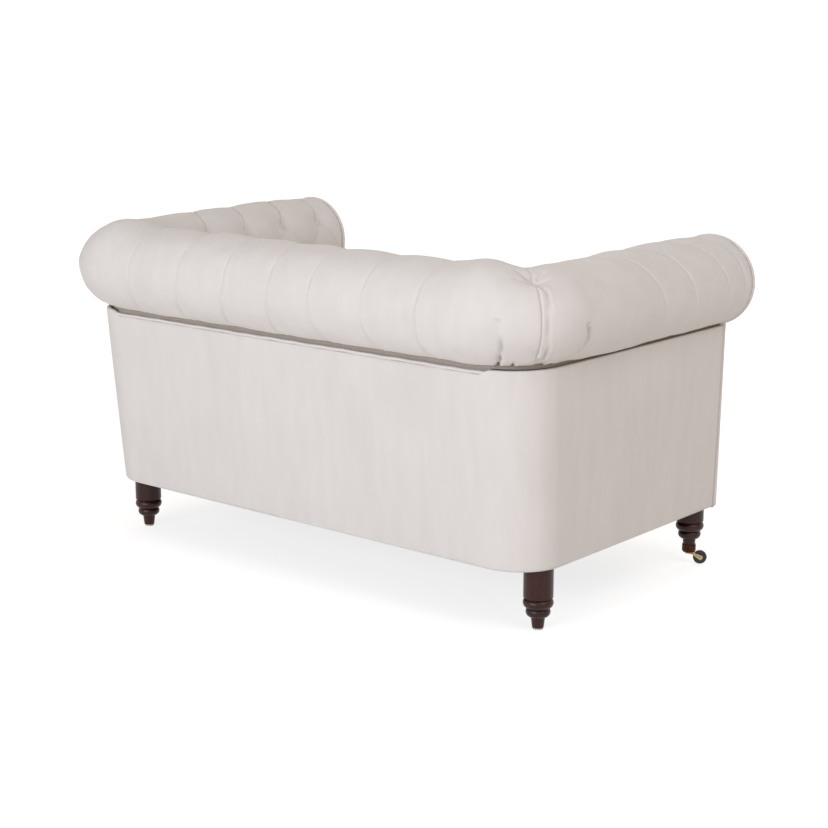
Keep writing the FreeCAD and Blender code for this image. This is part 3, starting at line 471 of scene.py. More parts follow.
@dataclass
class RollPath:
    """The line that the rolled top follows round the sofa, from one arm's front to the other's.

    A point on it is s, metres from the middle of the back, positive to +X, and u, metres outwards of it.
    """

    half_width: float = 0.6226
    back: float = 0.3062
    corner: float = 0.09
    front: float = -0.4095
    tightest: float = 0.004
    even_to: float = 0.4

    @property
    def straight(self) -> float:
        """Where the corner starts."""
        return self.half_width - self.corner

    @property
    def turn(self) -> float:
        """Length of the corner."""
        return self.corner * math.pi / 2

    @property
    def end(self) -> float:
        """The largest s, at the arm's front."""
        return self.straight + self.turn + self.back - self.corner - self.front

    def at(self, s: Array, u: Array) -> tuple[Array, Array]:
        """X and Y of points given by s and u."""
        s, u = np.broadcast_arrays(np.asarray(s, float), np.asarray(u, float))
        side = np.where(s < 0, -1.0, 1.0)
        q = np.abs(s)
        radius = np.maximum(self.corner + u, self.tightest)
        x_mid = self.half_width + u - radius
        y_mid = self.back + u - radius
        share = (q - self.even_to) / (self.straight - self.even_to)
        x_back = np.where(q < self.even_to, q, self.even_to + share * (x_mid - self.even_to))
        angle = np.clip((q - self.straight) / self.turn, 0, 1) * math.pi / 2
        on_arm = q - self.straight - self.turn
        pace = (y_mid - self.front) / (self.back - self.corner - self.front)
        x = np.where(q <= self.straight, x_back, x_mid + radius * np.sin(angle))
        y = np.where(q <= self.straight, self.back + u, y_mid + radius * np.cos(angle))
        y = np.where(on_arm > 0, y_mid - on_arm * pace, y)
        return side * x, y

    def arm_s(self, y: float, u: float) -> float:
        """The s of a point on an arm, given its Y and u."""
        radius = max(self.corner + u, self.tightest)
        y_mid = self.back + u - radius
        pace = (y_mid - self.front) / (self.back - self.corner - self.front)
        return self.straight + self.turn + (y_mid - y) / pace


@dataclass
class RollSection:
    """The pad's cross-section: up the inner wall, over the roll and under it to the tuck.

    A point on it is a, metres of cloth from the roll's innermost line, positive up and over.
    """

    half_width: float = 0.1108
    half_height: float = 0.1018
    centre_height: float = 0.674
    pace: float = 0.1107
    bottom: float = 0.3005
    wall: float = -0.1000
    wall_blend: float = 0.16
    tuck_angle: float = math.radians(249.0)

    @property
    def start(self) -> float:
        """The a of the wall's foot."""
        return self.bottom - self.centre_height

    @property
    def tuck(self) -> float:
        """The a at which the cloth goes out of sight under the roll."""
        return self.tuck_angle * self.pace

    def at(self, a: Array) -> tuple[Array, Array]:
        """Outward offset and height of points given by a."""
        a = np.asarray(a, float)
        angle = a / self.pace
        lean = smooth_step(-a, 0, self.wall_blend)
        wall_u = -self.half_width + lean * (self.wall + self.half_width)
        u = np.where(a >= 0, -self.half_width * np.cos(angle), wall_u)
        z = self.centre_height + np.where(a >= 0, self.half_height * np.sin(angle), a)
        return u, z


@dataclass
class Crease:
    """A line where the cloth is drawn in: a fold between buttons, a pleat over the roll or a seam.

    Strength runs along it from 0, only a soft valley, to 1, a sharp fold. Floor is how far it is drawn in.
    """

    points: list[tuple[float, float]]
    strength: list[float]
    floor: float = 0.0
    depth: float = 0.0026


@dataclass
class Tufting:
    """Buttons and creases of the deep-buttoned rolls, in the path's s and the section's a.

    A pleat over the roll is a list of a, how far it has drifted there, and how sharp it is.
    """

    path: RollPath
    section: RollSection
    rows: Triple = (0.0676, -0.036, -0.131)
    pitch: float = 0.146
    arm_pitch: float = 0.132
    arm_first: float = 0.048
    arm_count: int = 4
    seam_share: float = 0.6
    corner_button: float = 0.226
    button_floor: float = -0.0145
    fold_floor: float = -0.003
    fold_strength: float = 0.85
    foot_bend: float = -0.26
    pleat_floor: float = -0.001
    wander: tuple[float, ...] = (0.006, 0.007, 0.010, -0.018, -0.026, -0.025, -0.010)
    back_pleat: tuple[Triple, ...] = (
        (0.15, 0.4, 0.75), (0.22, 0.8, 0.25), (0.33, 1.0, 0.7), (0.40, 0.6, 1.0), (0.45, 0.1, 1.0))
    arm_lean: tuple[float, ...] = (1.0, 0.9, 0.95, 0.35)
    arm_pleat: tuple[Triple, ...] = (
        (0.15, 0.02, 0.7), (0.228, 0.062, 0.6), (0.318, 0.098, 0.45), (0.42, 0.122, 0.12))
    corner_fan: tuple[tuple[float, float], ...] = ((-0.022, -0.026), (0.001, -0.036), (0.021, -0.026))
    creases: list[Crease] = field(default_factory=list)
    buttons: dict[str, list[tuple[float, float]]] = field(default_factory=dict)

    @property
    def seam(self) -> float:
        """The s of the corner seam."""
        return self.path.straight + self.seam_share * self.path.turn

    def inner_u(self, row: int) -> float:
        """How far outwards a row of buttons is."""
        return float(self.section.at(self.rows[row])[0])

    def lay_out(self) -> None:
        """Fills in the creases and the buttons."""
        self.back_tufts()
        for side in Side:
            self.arm_tufts(side)
            self.corner(side)

    def draw_in(self, points: list[tuple[float, float]], strength: list[float], floor: float,
                depth: float = 0.0026) -> None:
        """Adds one crease."""
        self.creases.append(Crease(points, strength, floor, depth))

    def fold(self, *points: tuple[float, float]) -> None:
        """Adds a fold of the diamond pattern."""
        self.draw_in(list(points), [self.fold_strength] * len(points), self.fold_floor, 0.0022)

    def foot_pleat(self, s: float) -> None:
        """Adds the pleat that runs down from one of the lowest buttons to the seat."""
        line = [(s, self.rows[2]), (s, self.foot_bend), (s, self.section.start)]
        self.draw_in(line, [1.0, 0.8, 0.6], self.fold_floor)

    def back_tufts(self) -> None:
        """Adds the back's rows, diamond folds and the pleats over the crest."""
        high, middle, low = self.rows
        columns = [(k - 3) * self.pitch for k in range(7)]
        between = [(k - 2.5) * self.pitch for k in range(6)]
        rows = ((columns, high), (between, middle), (columns, low))
        self.buttons["back"] = [(s, a) for places, a in rows for s in places]
        for s in between:
            for end in (s - self.pitch / 2, s + self.pitch / 2):
                self.fold((end, high), (s, middle))
                self.fold((s, middle), (end, low))
        for side in Side:
            edge = side.value * 3 * self.pitch
            seam = side.value * self.seam
            self.fold((edge, high), (seam, middle))
            self.fold((seam, middle), (edge, low))
        for s, drift in zip(columns, self.wander):
            self.foot_pleat(s)
            over = [(s + drift * share, a) for a, share, _ in self.back_pleat]
            end = (s + drift * self.back_pleat[-1][1], self.section.tuck)
            strength = [1.0, *(held for _, _, held in self.back_pleat), 1.0]
            self.draw_in([(s, high), *over, end], strength, self.pleat_floor, 0.0055)

    def arm_tufts(self, side: Side) -> None:
        """Adds one arm's rows, diamond folds and the pleats that lean forward over its crest."""
        high, middle, low = self.rows
        ys = [self.arm_first - k * self.arm_pitch for k in range(self.arm_count)]
        halves = [self.arm_first + self.arm_pitch / 2 - k * self.arm_pitch for k in range(self.arm_count)]
        top, mid, foot = (
            [side.value * self.path.arm_s(y, self.inner_u(row)) for y in places]
            for row, places in enumerate((ys, halves, ys))
        )
        rows = ((top, high), (mid, middle), (foot, low))
        self.buttons[side.label] = [(s, a) for places, a in rows for s in places]
        seam = side.value * self.seam
        front = side.value * self.path.end
        for k, s in enumerate(mid):
            self.fold((s, middle), (top[k], high))
            self.fold((s, middle), (foot[k], low))
            before_top, before_foot = (top[k - 1], foot[k - 1]) if k else (seam, seam)
            self.fold((s, middle), (before_top, high if k else 0.02))
            self.fold((s, middle), (before_foot, low if k else -0.1))
        self.fold((top[-1], high), (front, middle + 0.006))
        self.fold((front, middle - 0.006), (foot[-1], low))
        for s, forward in zip(top, self.arm_lean):
            over = [(s + side.value * forward * lean, a) for a, lean, _ in self.arm_pleat]
            end = (over[-1][0], self.section.tuck)
            strength = [1.0, *(held for _, _, held in self.arm_pleat), 0.3]
            self.draw_in([(s, high), *over, end], strength, self.pleat_floor, 0.0042)
        for s in foot:
            self.foot_pleat(s)

    def corner(self, side: Side) -> None:
        """Adds one corner's seam, its button with the folds fanning from it and the gathers under it."""
        sign = side.value
        seam = sign * self.seam
        top = self.corner_button
        tuck = self.section.tuck
        self.buttons["back"].append((seam, top))
        inner = [(seam, self.section.start), (seam, 0.04), (seam, 0.10), (seam, top - 0.03), (seam, top)]
        self.draw_in(inner, [1.0, 0.9, 0.16, 0.16, 0.6], -0.003, 0.004)
        outer = [(seam, top), (seam + sign * 0.009, 0.27), (seam + sign * 0.006, 0.35),
                 (seam + sign * 0.009, 0.44), (seam + sign * 0.012, tuck)]
        self.draw_in(outer, [1.0] * len(outer), -0.003, 0.0062)
        for across, up in self.corner_fan:
            near, far = ((seam + sign * across * share, top + up * share) for share in (0.4, 1))
            self.draw_in([near, far], [1.0, 0.4], -0.006, 0.006)
        under = [(seam - sign * 0.024, top + 0.004), (seam, top + 0.012), (seam + sign * 0.022, top + 0.002)]
        self.draw_in(under, [0.5, 1.0, 0.5], -0.006, 0.0045)
        gathers = (
            ([(-0.040, 0.335), (-0.038, 0.40), (-0.040, 0.445), (-0.047, tuck)], [0.6, 1.0, 1.0, 1.0], 0.013),
            ([(-0.006, 0.40), (0.002, 0.44), (0.008, tuck)], [0.3, 0.9, 1.0], 0.005),
            ([(0.052, 0.355), (0.062, 0.40), (0.056, 0.44), (0.030, tuck)], [0.6, 1.0, 1.0, 1.0], 0.013),
            ([(-0.024, 0.455), (-0.026, tuck)], [0.5, 1.0], 0.007),
            ([(0.018, 0.45), (0.016, tuck)], [0.4, 1.0], 0.007),
        )
        for line, strength, depth in gathers:
            self.draw_in([(seam + sign * s, a) for s, a in line], strength, -0.004, depth)


@dataclass
class RollPads:
    """The stuffed pads of the back and arms: one skin over the buttons and creases, cut at the corners.

    The stuffing's push is a load on an elastic skin that the creases and buttons hold down. The skin's height
    is solved on a grid over the path and the section. Each plump place is its s, its a, how far it reaches
    along both and how much it adds.
    """

    path: RollPath
    section: RollSection
    tufting: Tufting
    step: float = 0.0029
    rounds: int = 260
    relax: float = 1.8
    hold_width: float = 0.0040
    groove_width: float = 0.0028
    lip: float = 0.0011
    hollow: float = 0.0045
    hollow_width: float = 0.017
    load_inside: float = 9.5
    load_crest: float = 2.6
    load_outside: float = 0.55
    uneven: float = 0.0007
    seed: int = 7
    slot: Triple = (-0.0386, 0.0289, 0.7152)
    skirt_back: float = 0.5568
    skirt_arm: float = 0.5730
    plump: tuple[tuple[float, float, float, float, float], ...] = (
        (0.545, 0.19, 0.06, 0.09, 0.011),
        (0.745, 0.17, 0.085, 0.09, -0.012),
        (1.13, 0.20, 0.12, 0.10, 0.004),
    )
    columns: Array = field(init=False)
    rows: Array = field(init=False)
    base: Array = field(init=False)
    normals: Array = field(init=False)
    height: Array = field(init=False)

    def __post_init__(self) -> None:
        """Lays out the grid and solves the skin."""
        half = round(self.tufting.seam / self.step)
        inner = np.linspace(-self.tufting.seam, self.tufting.seam, 2 * half + 1)
        arm_count = round((self.path.end - self.tufting.seam) / self.step)
        arm = np.linspace(self.tufting.seam, self.path.end, arm_count + 1)[1:]
        self.columns = np.concatenate([-arm[::-1], inner, arm])
        count = round((self.section.tuck - self.section.start) / self.step)
        self.rows = np.linspace(self.section.start, self.section.tuck, count + 1)
        self.base = self.surface(self.columns[:, None], self.rows[None, :])
        self.normals = self.surface_normals(self.base)
        self.height = self.solve()

    def surface(self, s: Array, a: Array) -> Array:
        """Points of the plain roll, without any stuffing."""
        u, z = self.section.at(a)
        s, u, z = np.broadcast_arrays(np.asarray(s, float), u, z)
        x, y = self.path.at(s, u)
        return np.stack([x, y, z], -1)

    @staticmethod
    def surface_normals(points: Array) -> Array:
        """Unit normals of a grid of points, outwards."""
        along = np.gradient(points, axis=0)
        across = np.gradient(points, axis=1)
        normal = np.cross(along, across)
        return normal / (np.linalg.norm(normal, axis=-1, keepdims=True) + 1e-12)

    def held_lines(self) -> tuple[Array, Array, Array, Array]:
        """Points every millimetre along every crease.

        Returns:
            Places, sideways directions, and strength, floor and depth of each.
        """
        places, sideways, values = [], [], []
        for crease in self.tufting.creases:
            points = np.array(crease.points)
            for k in range(len(points) - 1):
                ends = self.surface(points[k : k + 2, 0], points[k : k + 2, 1])
                count = max(int(np.linalg.norm(ends[1] - ends[0]) / MM), 2)
                t = np.linspace(0, 1, count, endpoint=False)
                s = points[k, 0] + t * (points[k + 1, 0] - points[k, 0])
                a = points[k, 1] + t * (points[k + 1, 1] - points[k, 1])
                line = self.surface(s, a)
                near = self.surface(s, a + MM)
                beside = self.surface(s + MM, a)
                outwards = np.cross(near - line, beside - line)
                ahead = np.gradient(line, axis=0)
                strength = crease.strength[k] + t * (crease.strength[k + 1] - crease.strength[k])
                places.append(line)
                sideways.append(np.cross(ahead, outwards))
                floor, depth = np.full(count, crease.floor), np.full(count, crease.depth)
                values.append(np.stack([strength, floor, depth], -1))
        return np.concatenate(places), np.concatenate(sideways), np.concatenate(values)

    def nearest(self, places: Array) -> tuple[Array, Array]:
        """For each grid point, the index of the nearest of some places and its distance."""
        tree = KDTree(len(places))
        for index, place in enumerate(places.tolist()):
            tree.insert(place, index)
        tree.balance()
        found = [tree.find(point)[1:] for point in self.base.reshape(-1, 3).tolist()]
        index, distance = (np.array(part).reshape(self.base.shape[:2]) for part in zip(*found))
        return index.astype(int), distance.astype(float)

    def load(self) -> Array:
        """The stuffing's push at each grid point."""
        a = self.rows[None, :]
        inside = 1 - smooth_step(a, 0.06, 0.13)
        outside = smooth_step(a, 0.16, 0.27)
        wall = smooth_step(a, -0.27, -0.14)
        push = self.load_crest + inside * (self.load_inside * (0.3 + 0.7 * wall) - self.load_crest)
        push = push + outside * (self.load_outside - self.load_crest)
        rng = np.random.default_rng(self.seed)
        phase = rng.uniform(0, 2 * math.pi, 6)
        s = self.columns[:, None]
        wave = np.sin(s * 17 + phase[0]) + np.sin(s * 29 + a * 21 + phase[1])
        wave = wave + np.sin(a * 33 - s * 11 + phase[2])
        return push * (1 + 0.09 * wave)

    def solve(self) -> Array:
        """Height of the skin over the plain roll at each grid point."""
        places, sideways, values = self.held_lines()
        index, distance = self.nearest(places)
        strength, floor, depth = (values[index, k] for k in range(3))
        beside = ((self.base - places[index]) * sideways[index]).sum(-1)
        hold = 5.0 * strength**1.5 * np.exp(-((distance / self.hold_width) ** 2))
        groups = self.tufting.buttons.values()
        buttons = np.concatenate([self.surface(*np.array(group).T) for group in groups])
        _, from_button = self.nearest(buttons)
        at_button = np.exp(-((from_button / 0.009) ** 2))
        target = floor + (self.tufting.button_floor - floor) * np.exp(-((from_button / 0.024) ** 2))
        hold = hold + 8.0 * at_button
        gap_s = np.linalg.norm(np.gradient(self.base, axis=0), axis=-1)
        gap_a = np.linalg.norm(np.gradient(self.base, axis=1), axis=-1)
        pull_s = np.clip((self.step / gap_s) ** 2, 0, 60)
        pull_a = (self.step / gap_a) ** 2
        push = self.load() * self.step**2
        height = np.zeros_like(hold)
        parity = np.add.outer(np.arange(hold.shape[0]), np.arange(hold.shape[1])) % 2
        total = 2 * pull_s + 2 * pull_a + hold
        for _ in range(self.rounds):
            for turn in (0, 1):
                wide = np.pad(height, 1, mode="edge")
                pulled = pull_s * (wide[2:, 1:-1] + wide[:-2, 1:-1])
                pulled = pulled + pull_a * (wide[1:-1, 2:] + wide[1:-1, :-2])
                new = (pulled + push + hold * target) / total
                height = np.where(parity == turn, height + self.relax * (new - height), height)
                height[0] = 0
                height[-1] = 0
        groove = depth * strength * np.exp(-((distance / self.groove_width) ** 2))
        edge = self.lip * strength * np.exp(-(((beside_scale(beside, sideways[index]) - 0.006) / 0.004) ** 2))
        hollow = self.hollow * np.exp(-((from_button / self.hollow_width) ** 2))
        return height - groove + edge - hollow + self.shape_by_hand()

    def shape_by_hand(self) -> Array:
        """The stuffer's unevenness: fuller and flatter places, then a gentle waviness of the cloth."""
        s = np.abs(self.columns[:, None])
        a = self.rows[None, :]
        plump = sum(
            amount * np.exp(-(((s - s0) / reach_s) ** 2) - ((a - a0) / reach_a) ** 2)
            for s0, a0, reach_s, reach_a, amount in self.plump
        )
        rng = np.random.default_rng(self.seed + 1)
        wave = np.zeros(np.broadcast_shapes(s.shape, a.shape))
        for _ in range(14):
            along, across = rng.uniform(-95, 95, 2)
            wave = wave + np.sin(self.columns[:, None] * along + a * across + rng.uniform(0, 2 * math.pi))
        return plump + self.uneven * wave / math.sqrt(14) * smooth_step(a, 0.05, 0.15)

    def skin(self) -> Array:
        """The finished skin's points."""
        return self.base + self.normals * self.height[..., None]

    def lining(self, columns: Array, last: Array) -> Array:
        """Points of the hidden turn-under and of the slot round the frame's boards.

        Args:
            columns: the s of each column.
            last: the skin's last point in each column.

        Returns:
            Points, (columns, rows, 3).
        """
        inner, outer, top = self.slot
        on_arm = smooth_step(np.abs(columns), 0.545, 0.56)
        skirt = self.skirt_back + (self.skirt_arm - self.skirt_back) * on_arm
        level = np.ones_like(skirt)
        profile = [
            (0.0335, last[:, 2] - 0.0005), (0.0305, last[:, 2] - 0.001), (0.0300, skirt),
            (outer + 0.0006, skirt), (outer + 0.0003, level * top), (inner, level * top),
            (inner, level * self.section.bottom),
        ]
        out = []
        for u, z in profile:
            x, y = self.path.at(columns, np.full_like(columns, u))
            out.append(np.stack([x, y, z], -1))
        return np.stack(out, 1)

    def build(self) -> list[Piece]:
        """Makes the three pads."""
        skin = self.skin()
        loop = np.concatenate([skin, self.lining(self.columns, skin[:, -1])], axis=1)
        seam = self.tufting.seam + 1e-6
        parts = {
            "back_upholstery": (np.abs(self.columns) <= seam, ("back_pad",)),
            "arm_upholstery_left": (self.columns <= -seam + 2e-6, ("arm_pad_left",)),
            "arm_upholstery_right": (self.columns >= seam - 2e-6, ("arm_pad_right",)),
        }
        pieces = []
        for name, (chosen, nodes) in parts.items():
            points = loop[chosen]
            count, around = points.shape[:2]
            quads = grid_faces(count, around, close_columns=True).tolist()
            caps = [list(range(around)), [(count - 1) * around + k for k in range(around)][::-1]]
            piece = make_object(name, points.reshape(-1, 3), quads + caps)
            pieces.append(place_piece(piece, VELVET, ROOT, nodes))
            # The lining faces, seen in the gap under the roll, take the darker calico: a real lining whose
            # colour also paints the shade there.
            piece.data.materials.append(CALICO_SHADE_LINING.build())
            band = np.tile(np.arange(around) >= skin.shape[1] - 1, count - 1)
            painted_shade_faces = np.concatenate([band, [False, False]])
            piece.data.polygons.foreach_set("material_index", painted_shade_faces.astype(np.int32))
            flat = np.concatenate([band, [True, True]])
            piece.data.polygons.foreach_set("use_smooth", ~flat)
        return pieces

    def stand(self, s: float, a: float) -> tuple[Array, Array]:
        """Place and outward direction of a point on the finished skin."""
        column = int(np.argmin(np.abs(self.columns - s)))
        row = int(np.argmin(np.abs(self.rows - a)))
        normal = self.normals[column, row]
        point = self.surface(np.array([s]), np.array([a]))[0] + normal * self.height[column, row]
        return point, normal


def beside_scale(beside: Array, direction: Array) -> Array:
    """Signed distance to one side of a line, from a product with its unscaled sideways direction."""
    return beside / (np.linalg.norm(direction, axis=-1) + 1e-15)


def tube(name: str, points: Array, radius: float, sides: int = 12, closed: bool = False) -> Piece:
    """Makes a round cord along points, with domed ends where it is open.

    Args:
        name: the piece's name.
        points: centre line in metres, (n, 3).
        radius: the cord's radius.
        sides: faces round it.
        closed: whether the line is a loop.

    Returns:
        The cord's mesh object.
    """
    points = np.asarray(points, float)
    ahead = np.roll(points, -1, 0) - np.roll(points, 1, 0) if closed else np.gradient(points, axis=0)
    ahead = ahead / np.linalg.norm(ahead, axis=1, keepdims=True)
    side = np.cross(ahead[0], [0.3, 0.2, 1.0])
    sides_out = []
    for direction in ahead:
        side = side - direction * (side @ direction)
        side = side / np.linalg.norm(side)
        sides_out.append(side)
    across = np.array(sides_out)
    up = np.cross(ahead, across)
    if not closed:
        lead = np.array([0.0, 0.35, 0.7, 0.92])
        start = points[0] - ahead[0] * radius * (1 - lead[:, None])
        stop = points[-1] + ahead[-1] * radius * (1 - lead[::-1, None])
        points = np.concatenate([start, points, stop])
        across = np.concatenate([np.repeat(across[:1], 4, 0), across, np.repeat(across[-1:], 4, 0)])
        up = np.concatenate([np.repeat(up[:1], 4, 0), up, np.repeat(up[-1:], 4, 0)])
        widths = np.sqrt(np.clip(1 - (1 - lead) ** 2, 0.01, 1))
        scale = np.concatenate([widths, np.ones(len(points) - 8), widths[::-1]])
    else:
        scale = np.ones(len(points))
    angle = np.linspace(0, 2 * math.pi, sides, endpoint=False)
    ring = np.cos(angle)[None, :, None] * across[:, None] + np.sin(angle)[None, :, None] * up[:, None]
    places = points[:, None] + ring * (radius * scale)[:, None, None]
    quads = grid_faces(len(points), sides, close_rows=closed, close_columns=True).tolist()
    if not closed:
        quads += [list(range(sides)), [(len(points) - 1) * sides + k for k in range(sides)]]
    return outward(make_object(name, places.reshape(-1, 3), quads))


def padded_slab(name: str, low: Triple, high: Triple, corner: float,
                crown: Triple = (0, 0, 0), cell: float = 0.008) -> Piece:
    """Makes a box with rounded edges whose faces swell outwards in the middle.

    Args:
        name: the piece's name.
        low: its lowest corner.
        high: its highest corner.
        corner: the edges' radius.
        crown: how far the faces swell along X, Y and Z.
        cell: size of its grid.

    Returns:
        The closed mesh object.
    """
    low_point, high_point = np.array(low), np.array(high)
    size = high_point - low_point
    middle = (low_point + high_point) / 2
    work = bmesh.new()
    bmesh.ops.create_cube(work, size=1.0)
    for axis in range(3):
        cuts = max(int(size[axis] / cell), 4)
        edges = [e for e in work.edges if abs((e.verts[0].co - e.verts[1].co)[axis]) > 0.5]
        bmesh.ops.subdivide_edges(work, edges=edges, cuts=cuts, use_grid_fill=True)
    share = np.array([v.co for v in work.verts]) * 2
    half = size / 2
    inner = half - corner
    flat = share * half
    core = np.clip(flat, -inner, inner)
    away = flat - core
    length = np.linalg.norm(away, axis=1, keepdims=True)
    shell = np.where(length > 1e-9, away / np.maximum(length, 1e-9), 0) * corner
    biggest = np.abs(away).max(1, keepdims=True)
    rounded = core + shell * np.where(corner > 0, np.clip(biggest / corner, 0, 1), 1)
    swell = np.clip(1 - share**2, 0, 1) ** 0.6
    for axis in range(3):
        others = [k for k in range(3) if k != axis]
        lift = swell[:, others[0]] * swell[:, others[1]] * crown[axis]
        rounded[:, axis] += np.sign(share[:, axis]) * lift * (np.abs(share[:, axis]) > 0.9)
    for vertex, place in zip(work.verts, rounded + middle):
        vertex.co = place
    bmesh.ops.recalc_face_normals(work, faces=work.faces)
    mesh = bpy.data.meshes.new(name)
    work.to_mesh(mesh)
    work.free()
    mesh.polygons.foreach_set("use_smooth", np.ones(len(mesh.polygons), bool))
    piece = bpy.data.objects.new(name, mesh)
    bpy.context.scene.collection.objects.link(piece)
    return piece


@dataclass
class CoveredButtons:
    """Buttons covered in the sofa's cloth, one on each tuft, made by Geometry Nodes."""

    radius: float = 0.0115
    rise: float = 0.0062
    sink: float = 0.0005
    segments: int = 24
    rings: int = 14

    def tree(self) -> Tree:
        """Returns the node tree that puts a domed button on every point."""
        tree = bpy.data.node_groups.new("covered_buttons", "GeometryNodeTree")
        tree.interface.new_socket("Geometry", in_out="INPUT", socket_type="NodeSocketGeometry")
        for name in ("Radius", "Rise"):
            tree.interface.new_socket(name, in_out="INPUT", socket_type="NodeSocketFloat")
        tree.interface.new_socket("Geometry", in_out="OUTPUT", socket_type="NodeSocketGeometry")
        source = add_node(tree, "NodeGroupInput")
        radius, rise = source.outputs["Radius"], source.outputs["Rise"]
        ball = add_node(tree, "GeometryNodeMeshUVSphere",
                        {"Segments": self.segments, "Rings": self.rings, "Radius": 1.0})
        size = add_node(tree, "ShaderNodeCombineXYZ", {0: radius, 1: radius, 2: rise})
        dome = add_node(tree, "GeometryNodeTransform",
                        {"Geometry": ball.outputs["Mesh"], "Scale": size.outputs[0]})
        facing = add_node(tree, "GeometryNodeInputNamedAttribute", {"Name": "facing"},
                          data_type="FLOAT_VECTOR")
        turned = add_node(tree, "FunctionNodeAlignRotationToVector",
                          {"Vector": facing.outputs["Attribute"]}, axis="Z")
        spread = add_node(tree, "GeometryNodeInstanceOnPoints", {
            "Points": source.outputs["Geometry"], "Instance": dome.outputs["Geometry"],
            "Rotation": turned.outputs[0]})
        real = add_node(tree, "GeometryNodeRealizeInstances", {"Geometry": spread.outputs[0]})
        smooth = add_node(tree, "GeometryNodeSetShadeSmooth", {0: real.outputs[0]})
        dressed = add_node(tree, "GeometryNodeSetMaterial",
                           {"Geometry": smooth.outputs[0], "Material": VELVET.build()})
        add_node(tree, "NodeGroupOutput", {"Geometry": dressed.outputs[0]})
        return tree

    def build(self, pads: RollPads) -> None:
        """Makes the buttons of the back and of each arm."""
        tree = self.tree()
        for group, places in pads.tufting.buttons.items():
            stands = [pads.stand(s, a) for s, a in places]
            points = np.array([point + normal * self.sink for point, normal in stands])
            name, node = "back_covered_buttons", "back_buttons"
            if group != "back":
                name, node = f"arm_covered_buttons_{group}", f"arm_buttons_{group}"
            carrier = make_object(name, points, [])
            facing = carrier.data.attributes.new("facing", "FLOAT_VECTOR", "POINT")
            facing.data.foreach_set("vector", np.array([normal for _, normal in stands], np.float32).ravel())
            piece = bake(carrier, tree, {"Radius": self.radius, "Rise": self.rise})
            place_piece(piece, VELVET, ROOT, (node,))


def bake(carrier: Piece, tree: Tree, inputs: dict[str, Any]) -> Piece:
    """Runs a Geometry Nodes tree on an object and keeps the result as its plain mesh.

    Args:
        carrier: the object whose mesh goes in.
        tree: the node tree.
        inputs: the tree's inputs by name.

    Returns:
        The same object with the result as its mesh.
    """
    modifier = carrier.modifiers.new(tree.name, "NODES")
    modifier.node_group = tree
    for item in tree.interface.items_tree:
        if item.item_type == "SOCKET" and item.in_out == "INPUT" and item.name in inputs:
            modifier[item.identifier] = inputs[item.name]
    bpy.context.view_layer.update()
    evaluated = carrier.evaluated_get(bpy.context.evaluated_depsgraph_get())
    mesh = bpy.data.meshes.new_from_object(evaluated)
    carrier.modifiers.remove(modifier)
    carrier.data = mesh
    return carrier


def resample(line: Array, count: int) -> Array:
    """Points at even steps along a line.

    Args:
        line: the line's points.
        count: how many to return.

    Returns:
        Points, (count, dimensions).
    """
    gaps = np.concatenate([[0], np.cumsum(np.linalg.norm(np.diff(line, axis=0), axis=1))])
    even = np.linspace(0, gaps[-1], count)
    return np.stack([np.interp(even, gaps, line[:, k]) for k in range(line.shape[1])], -1)


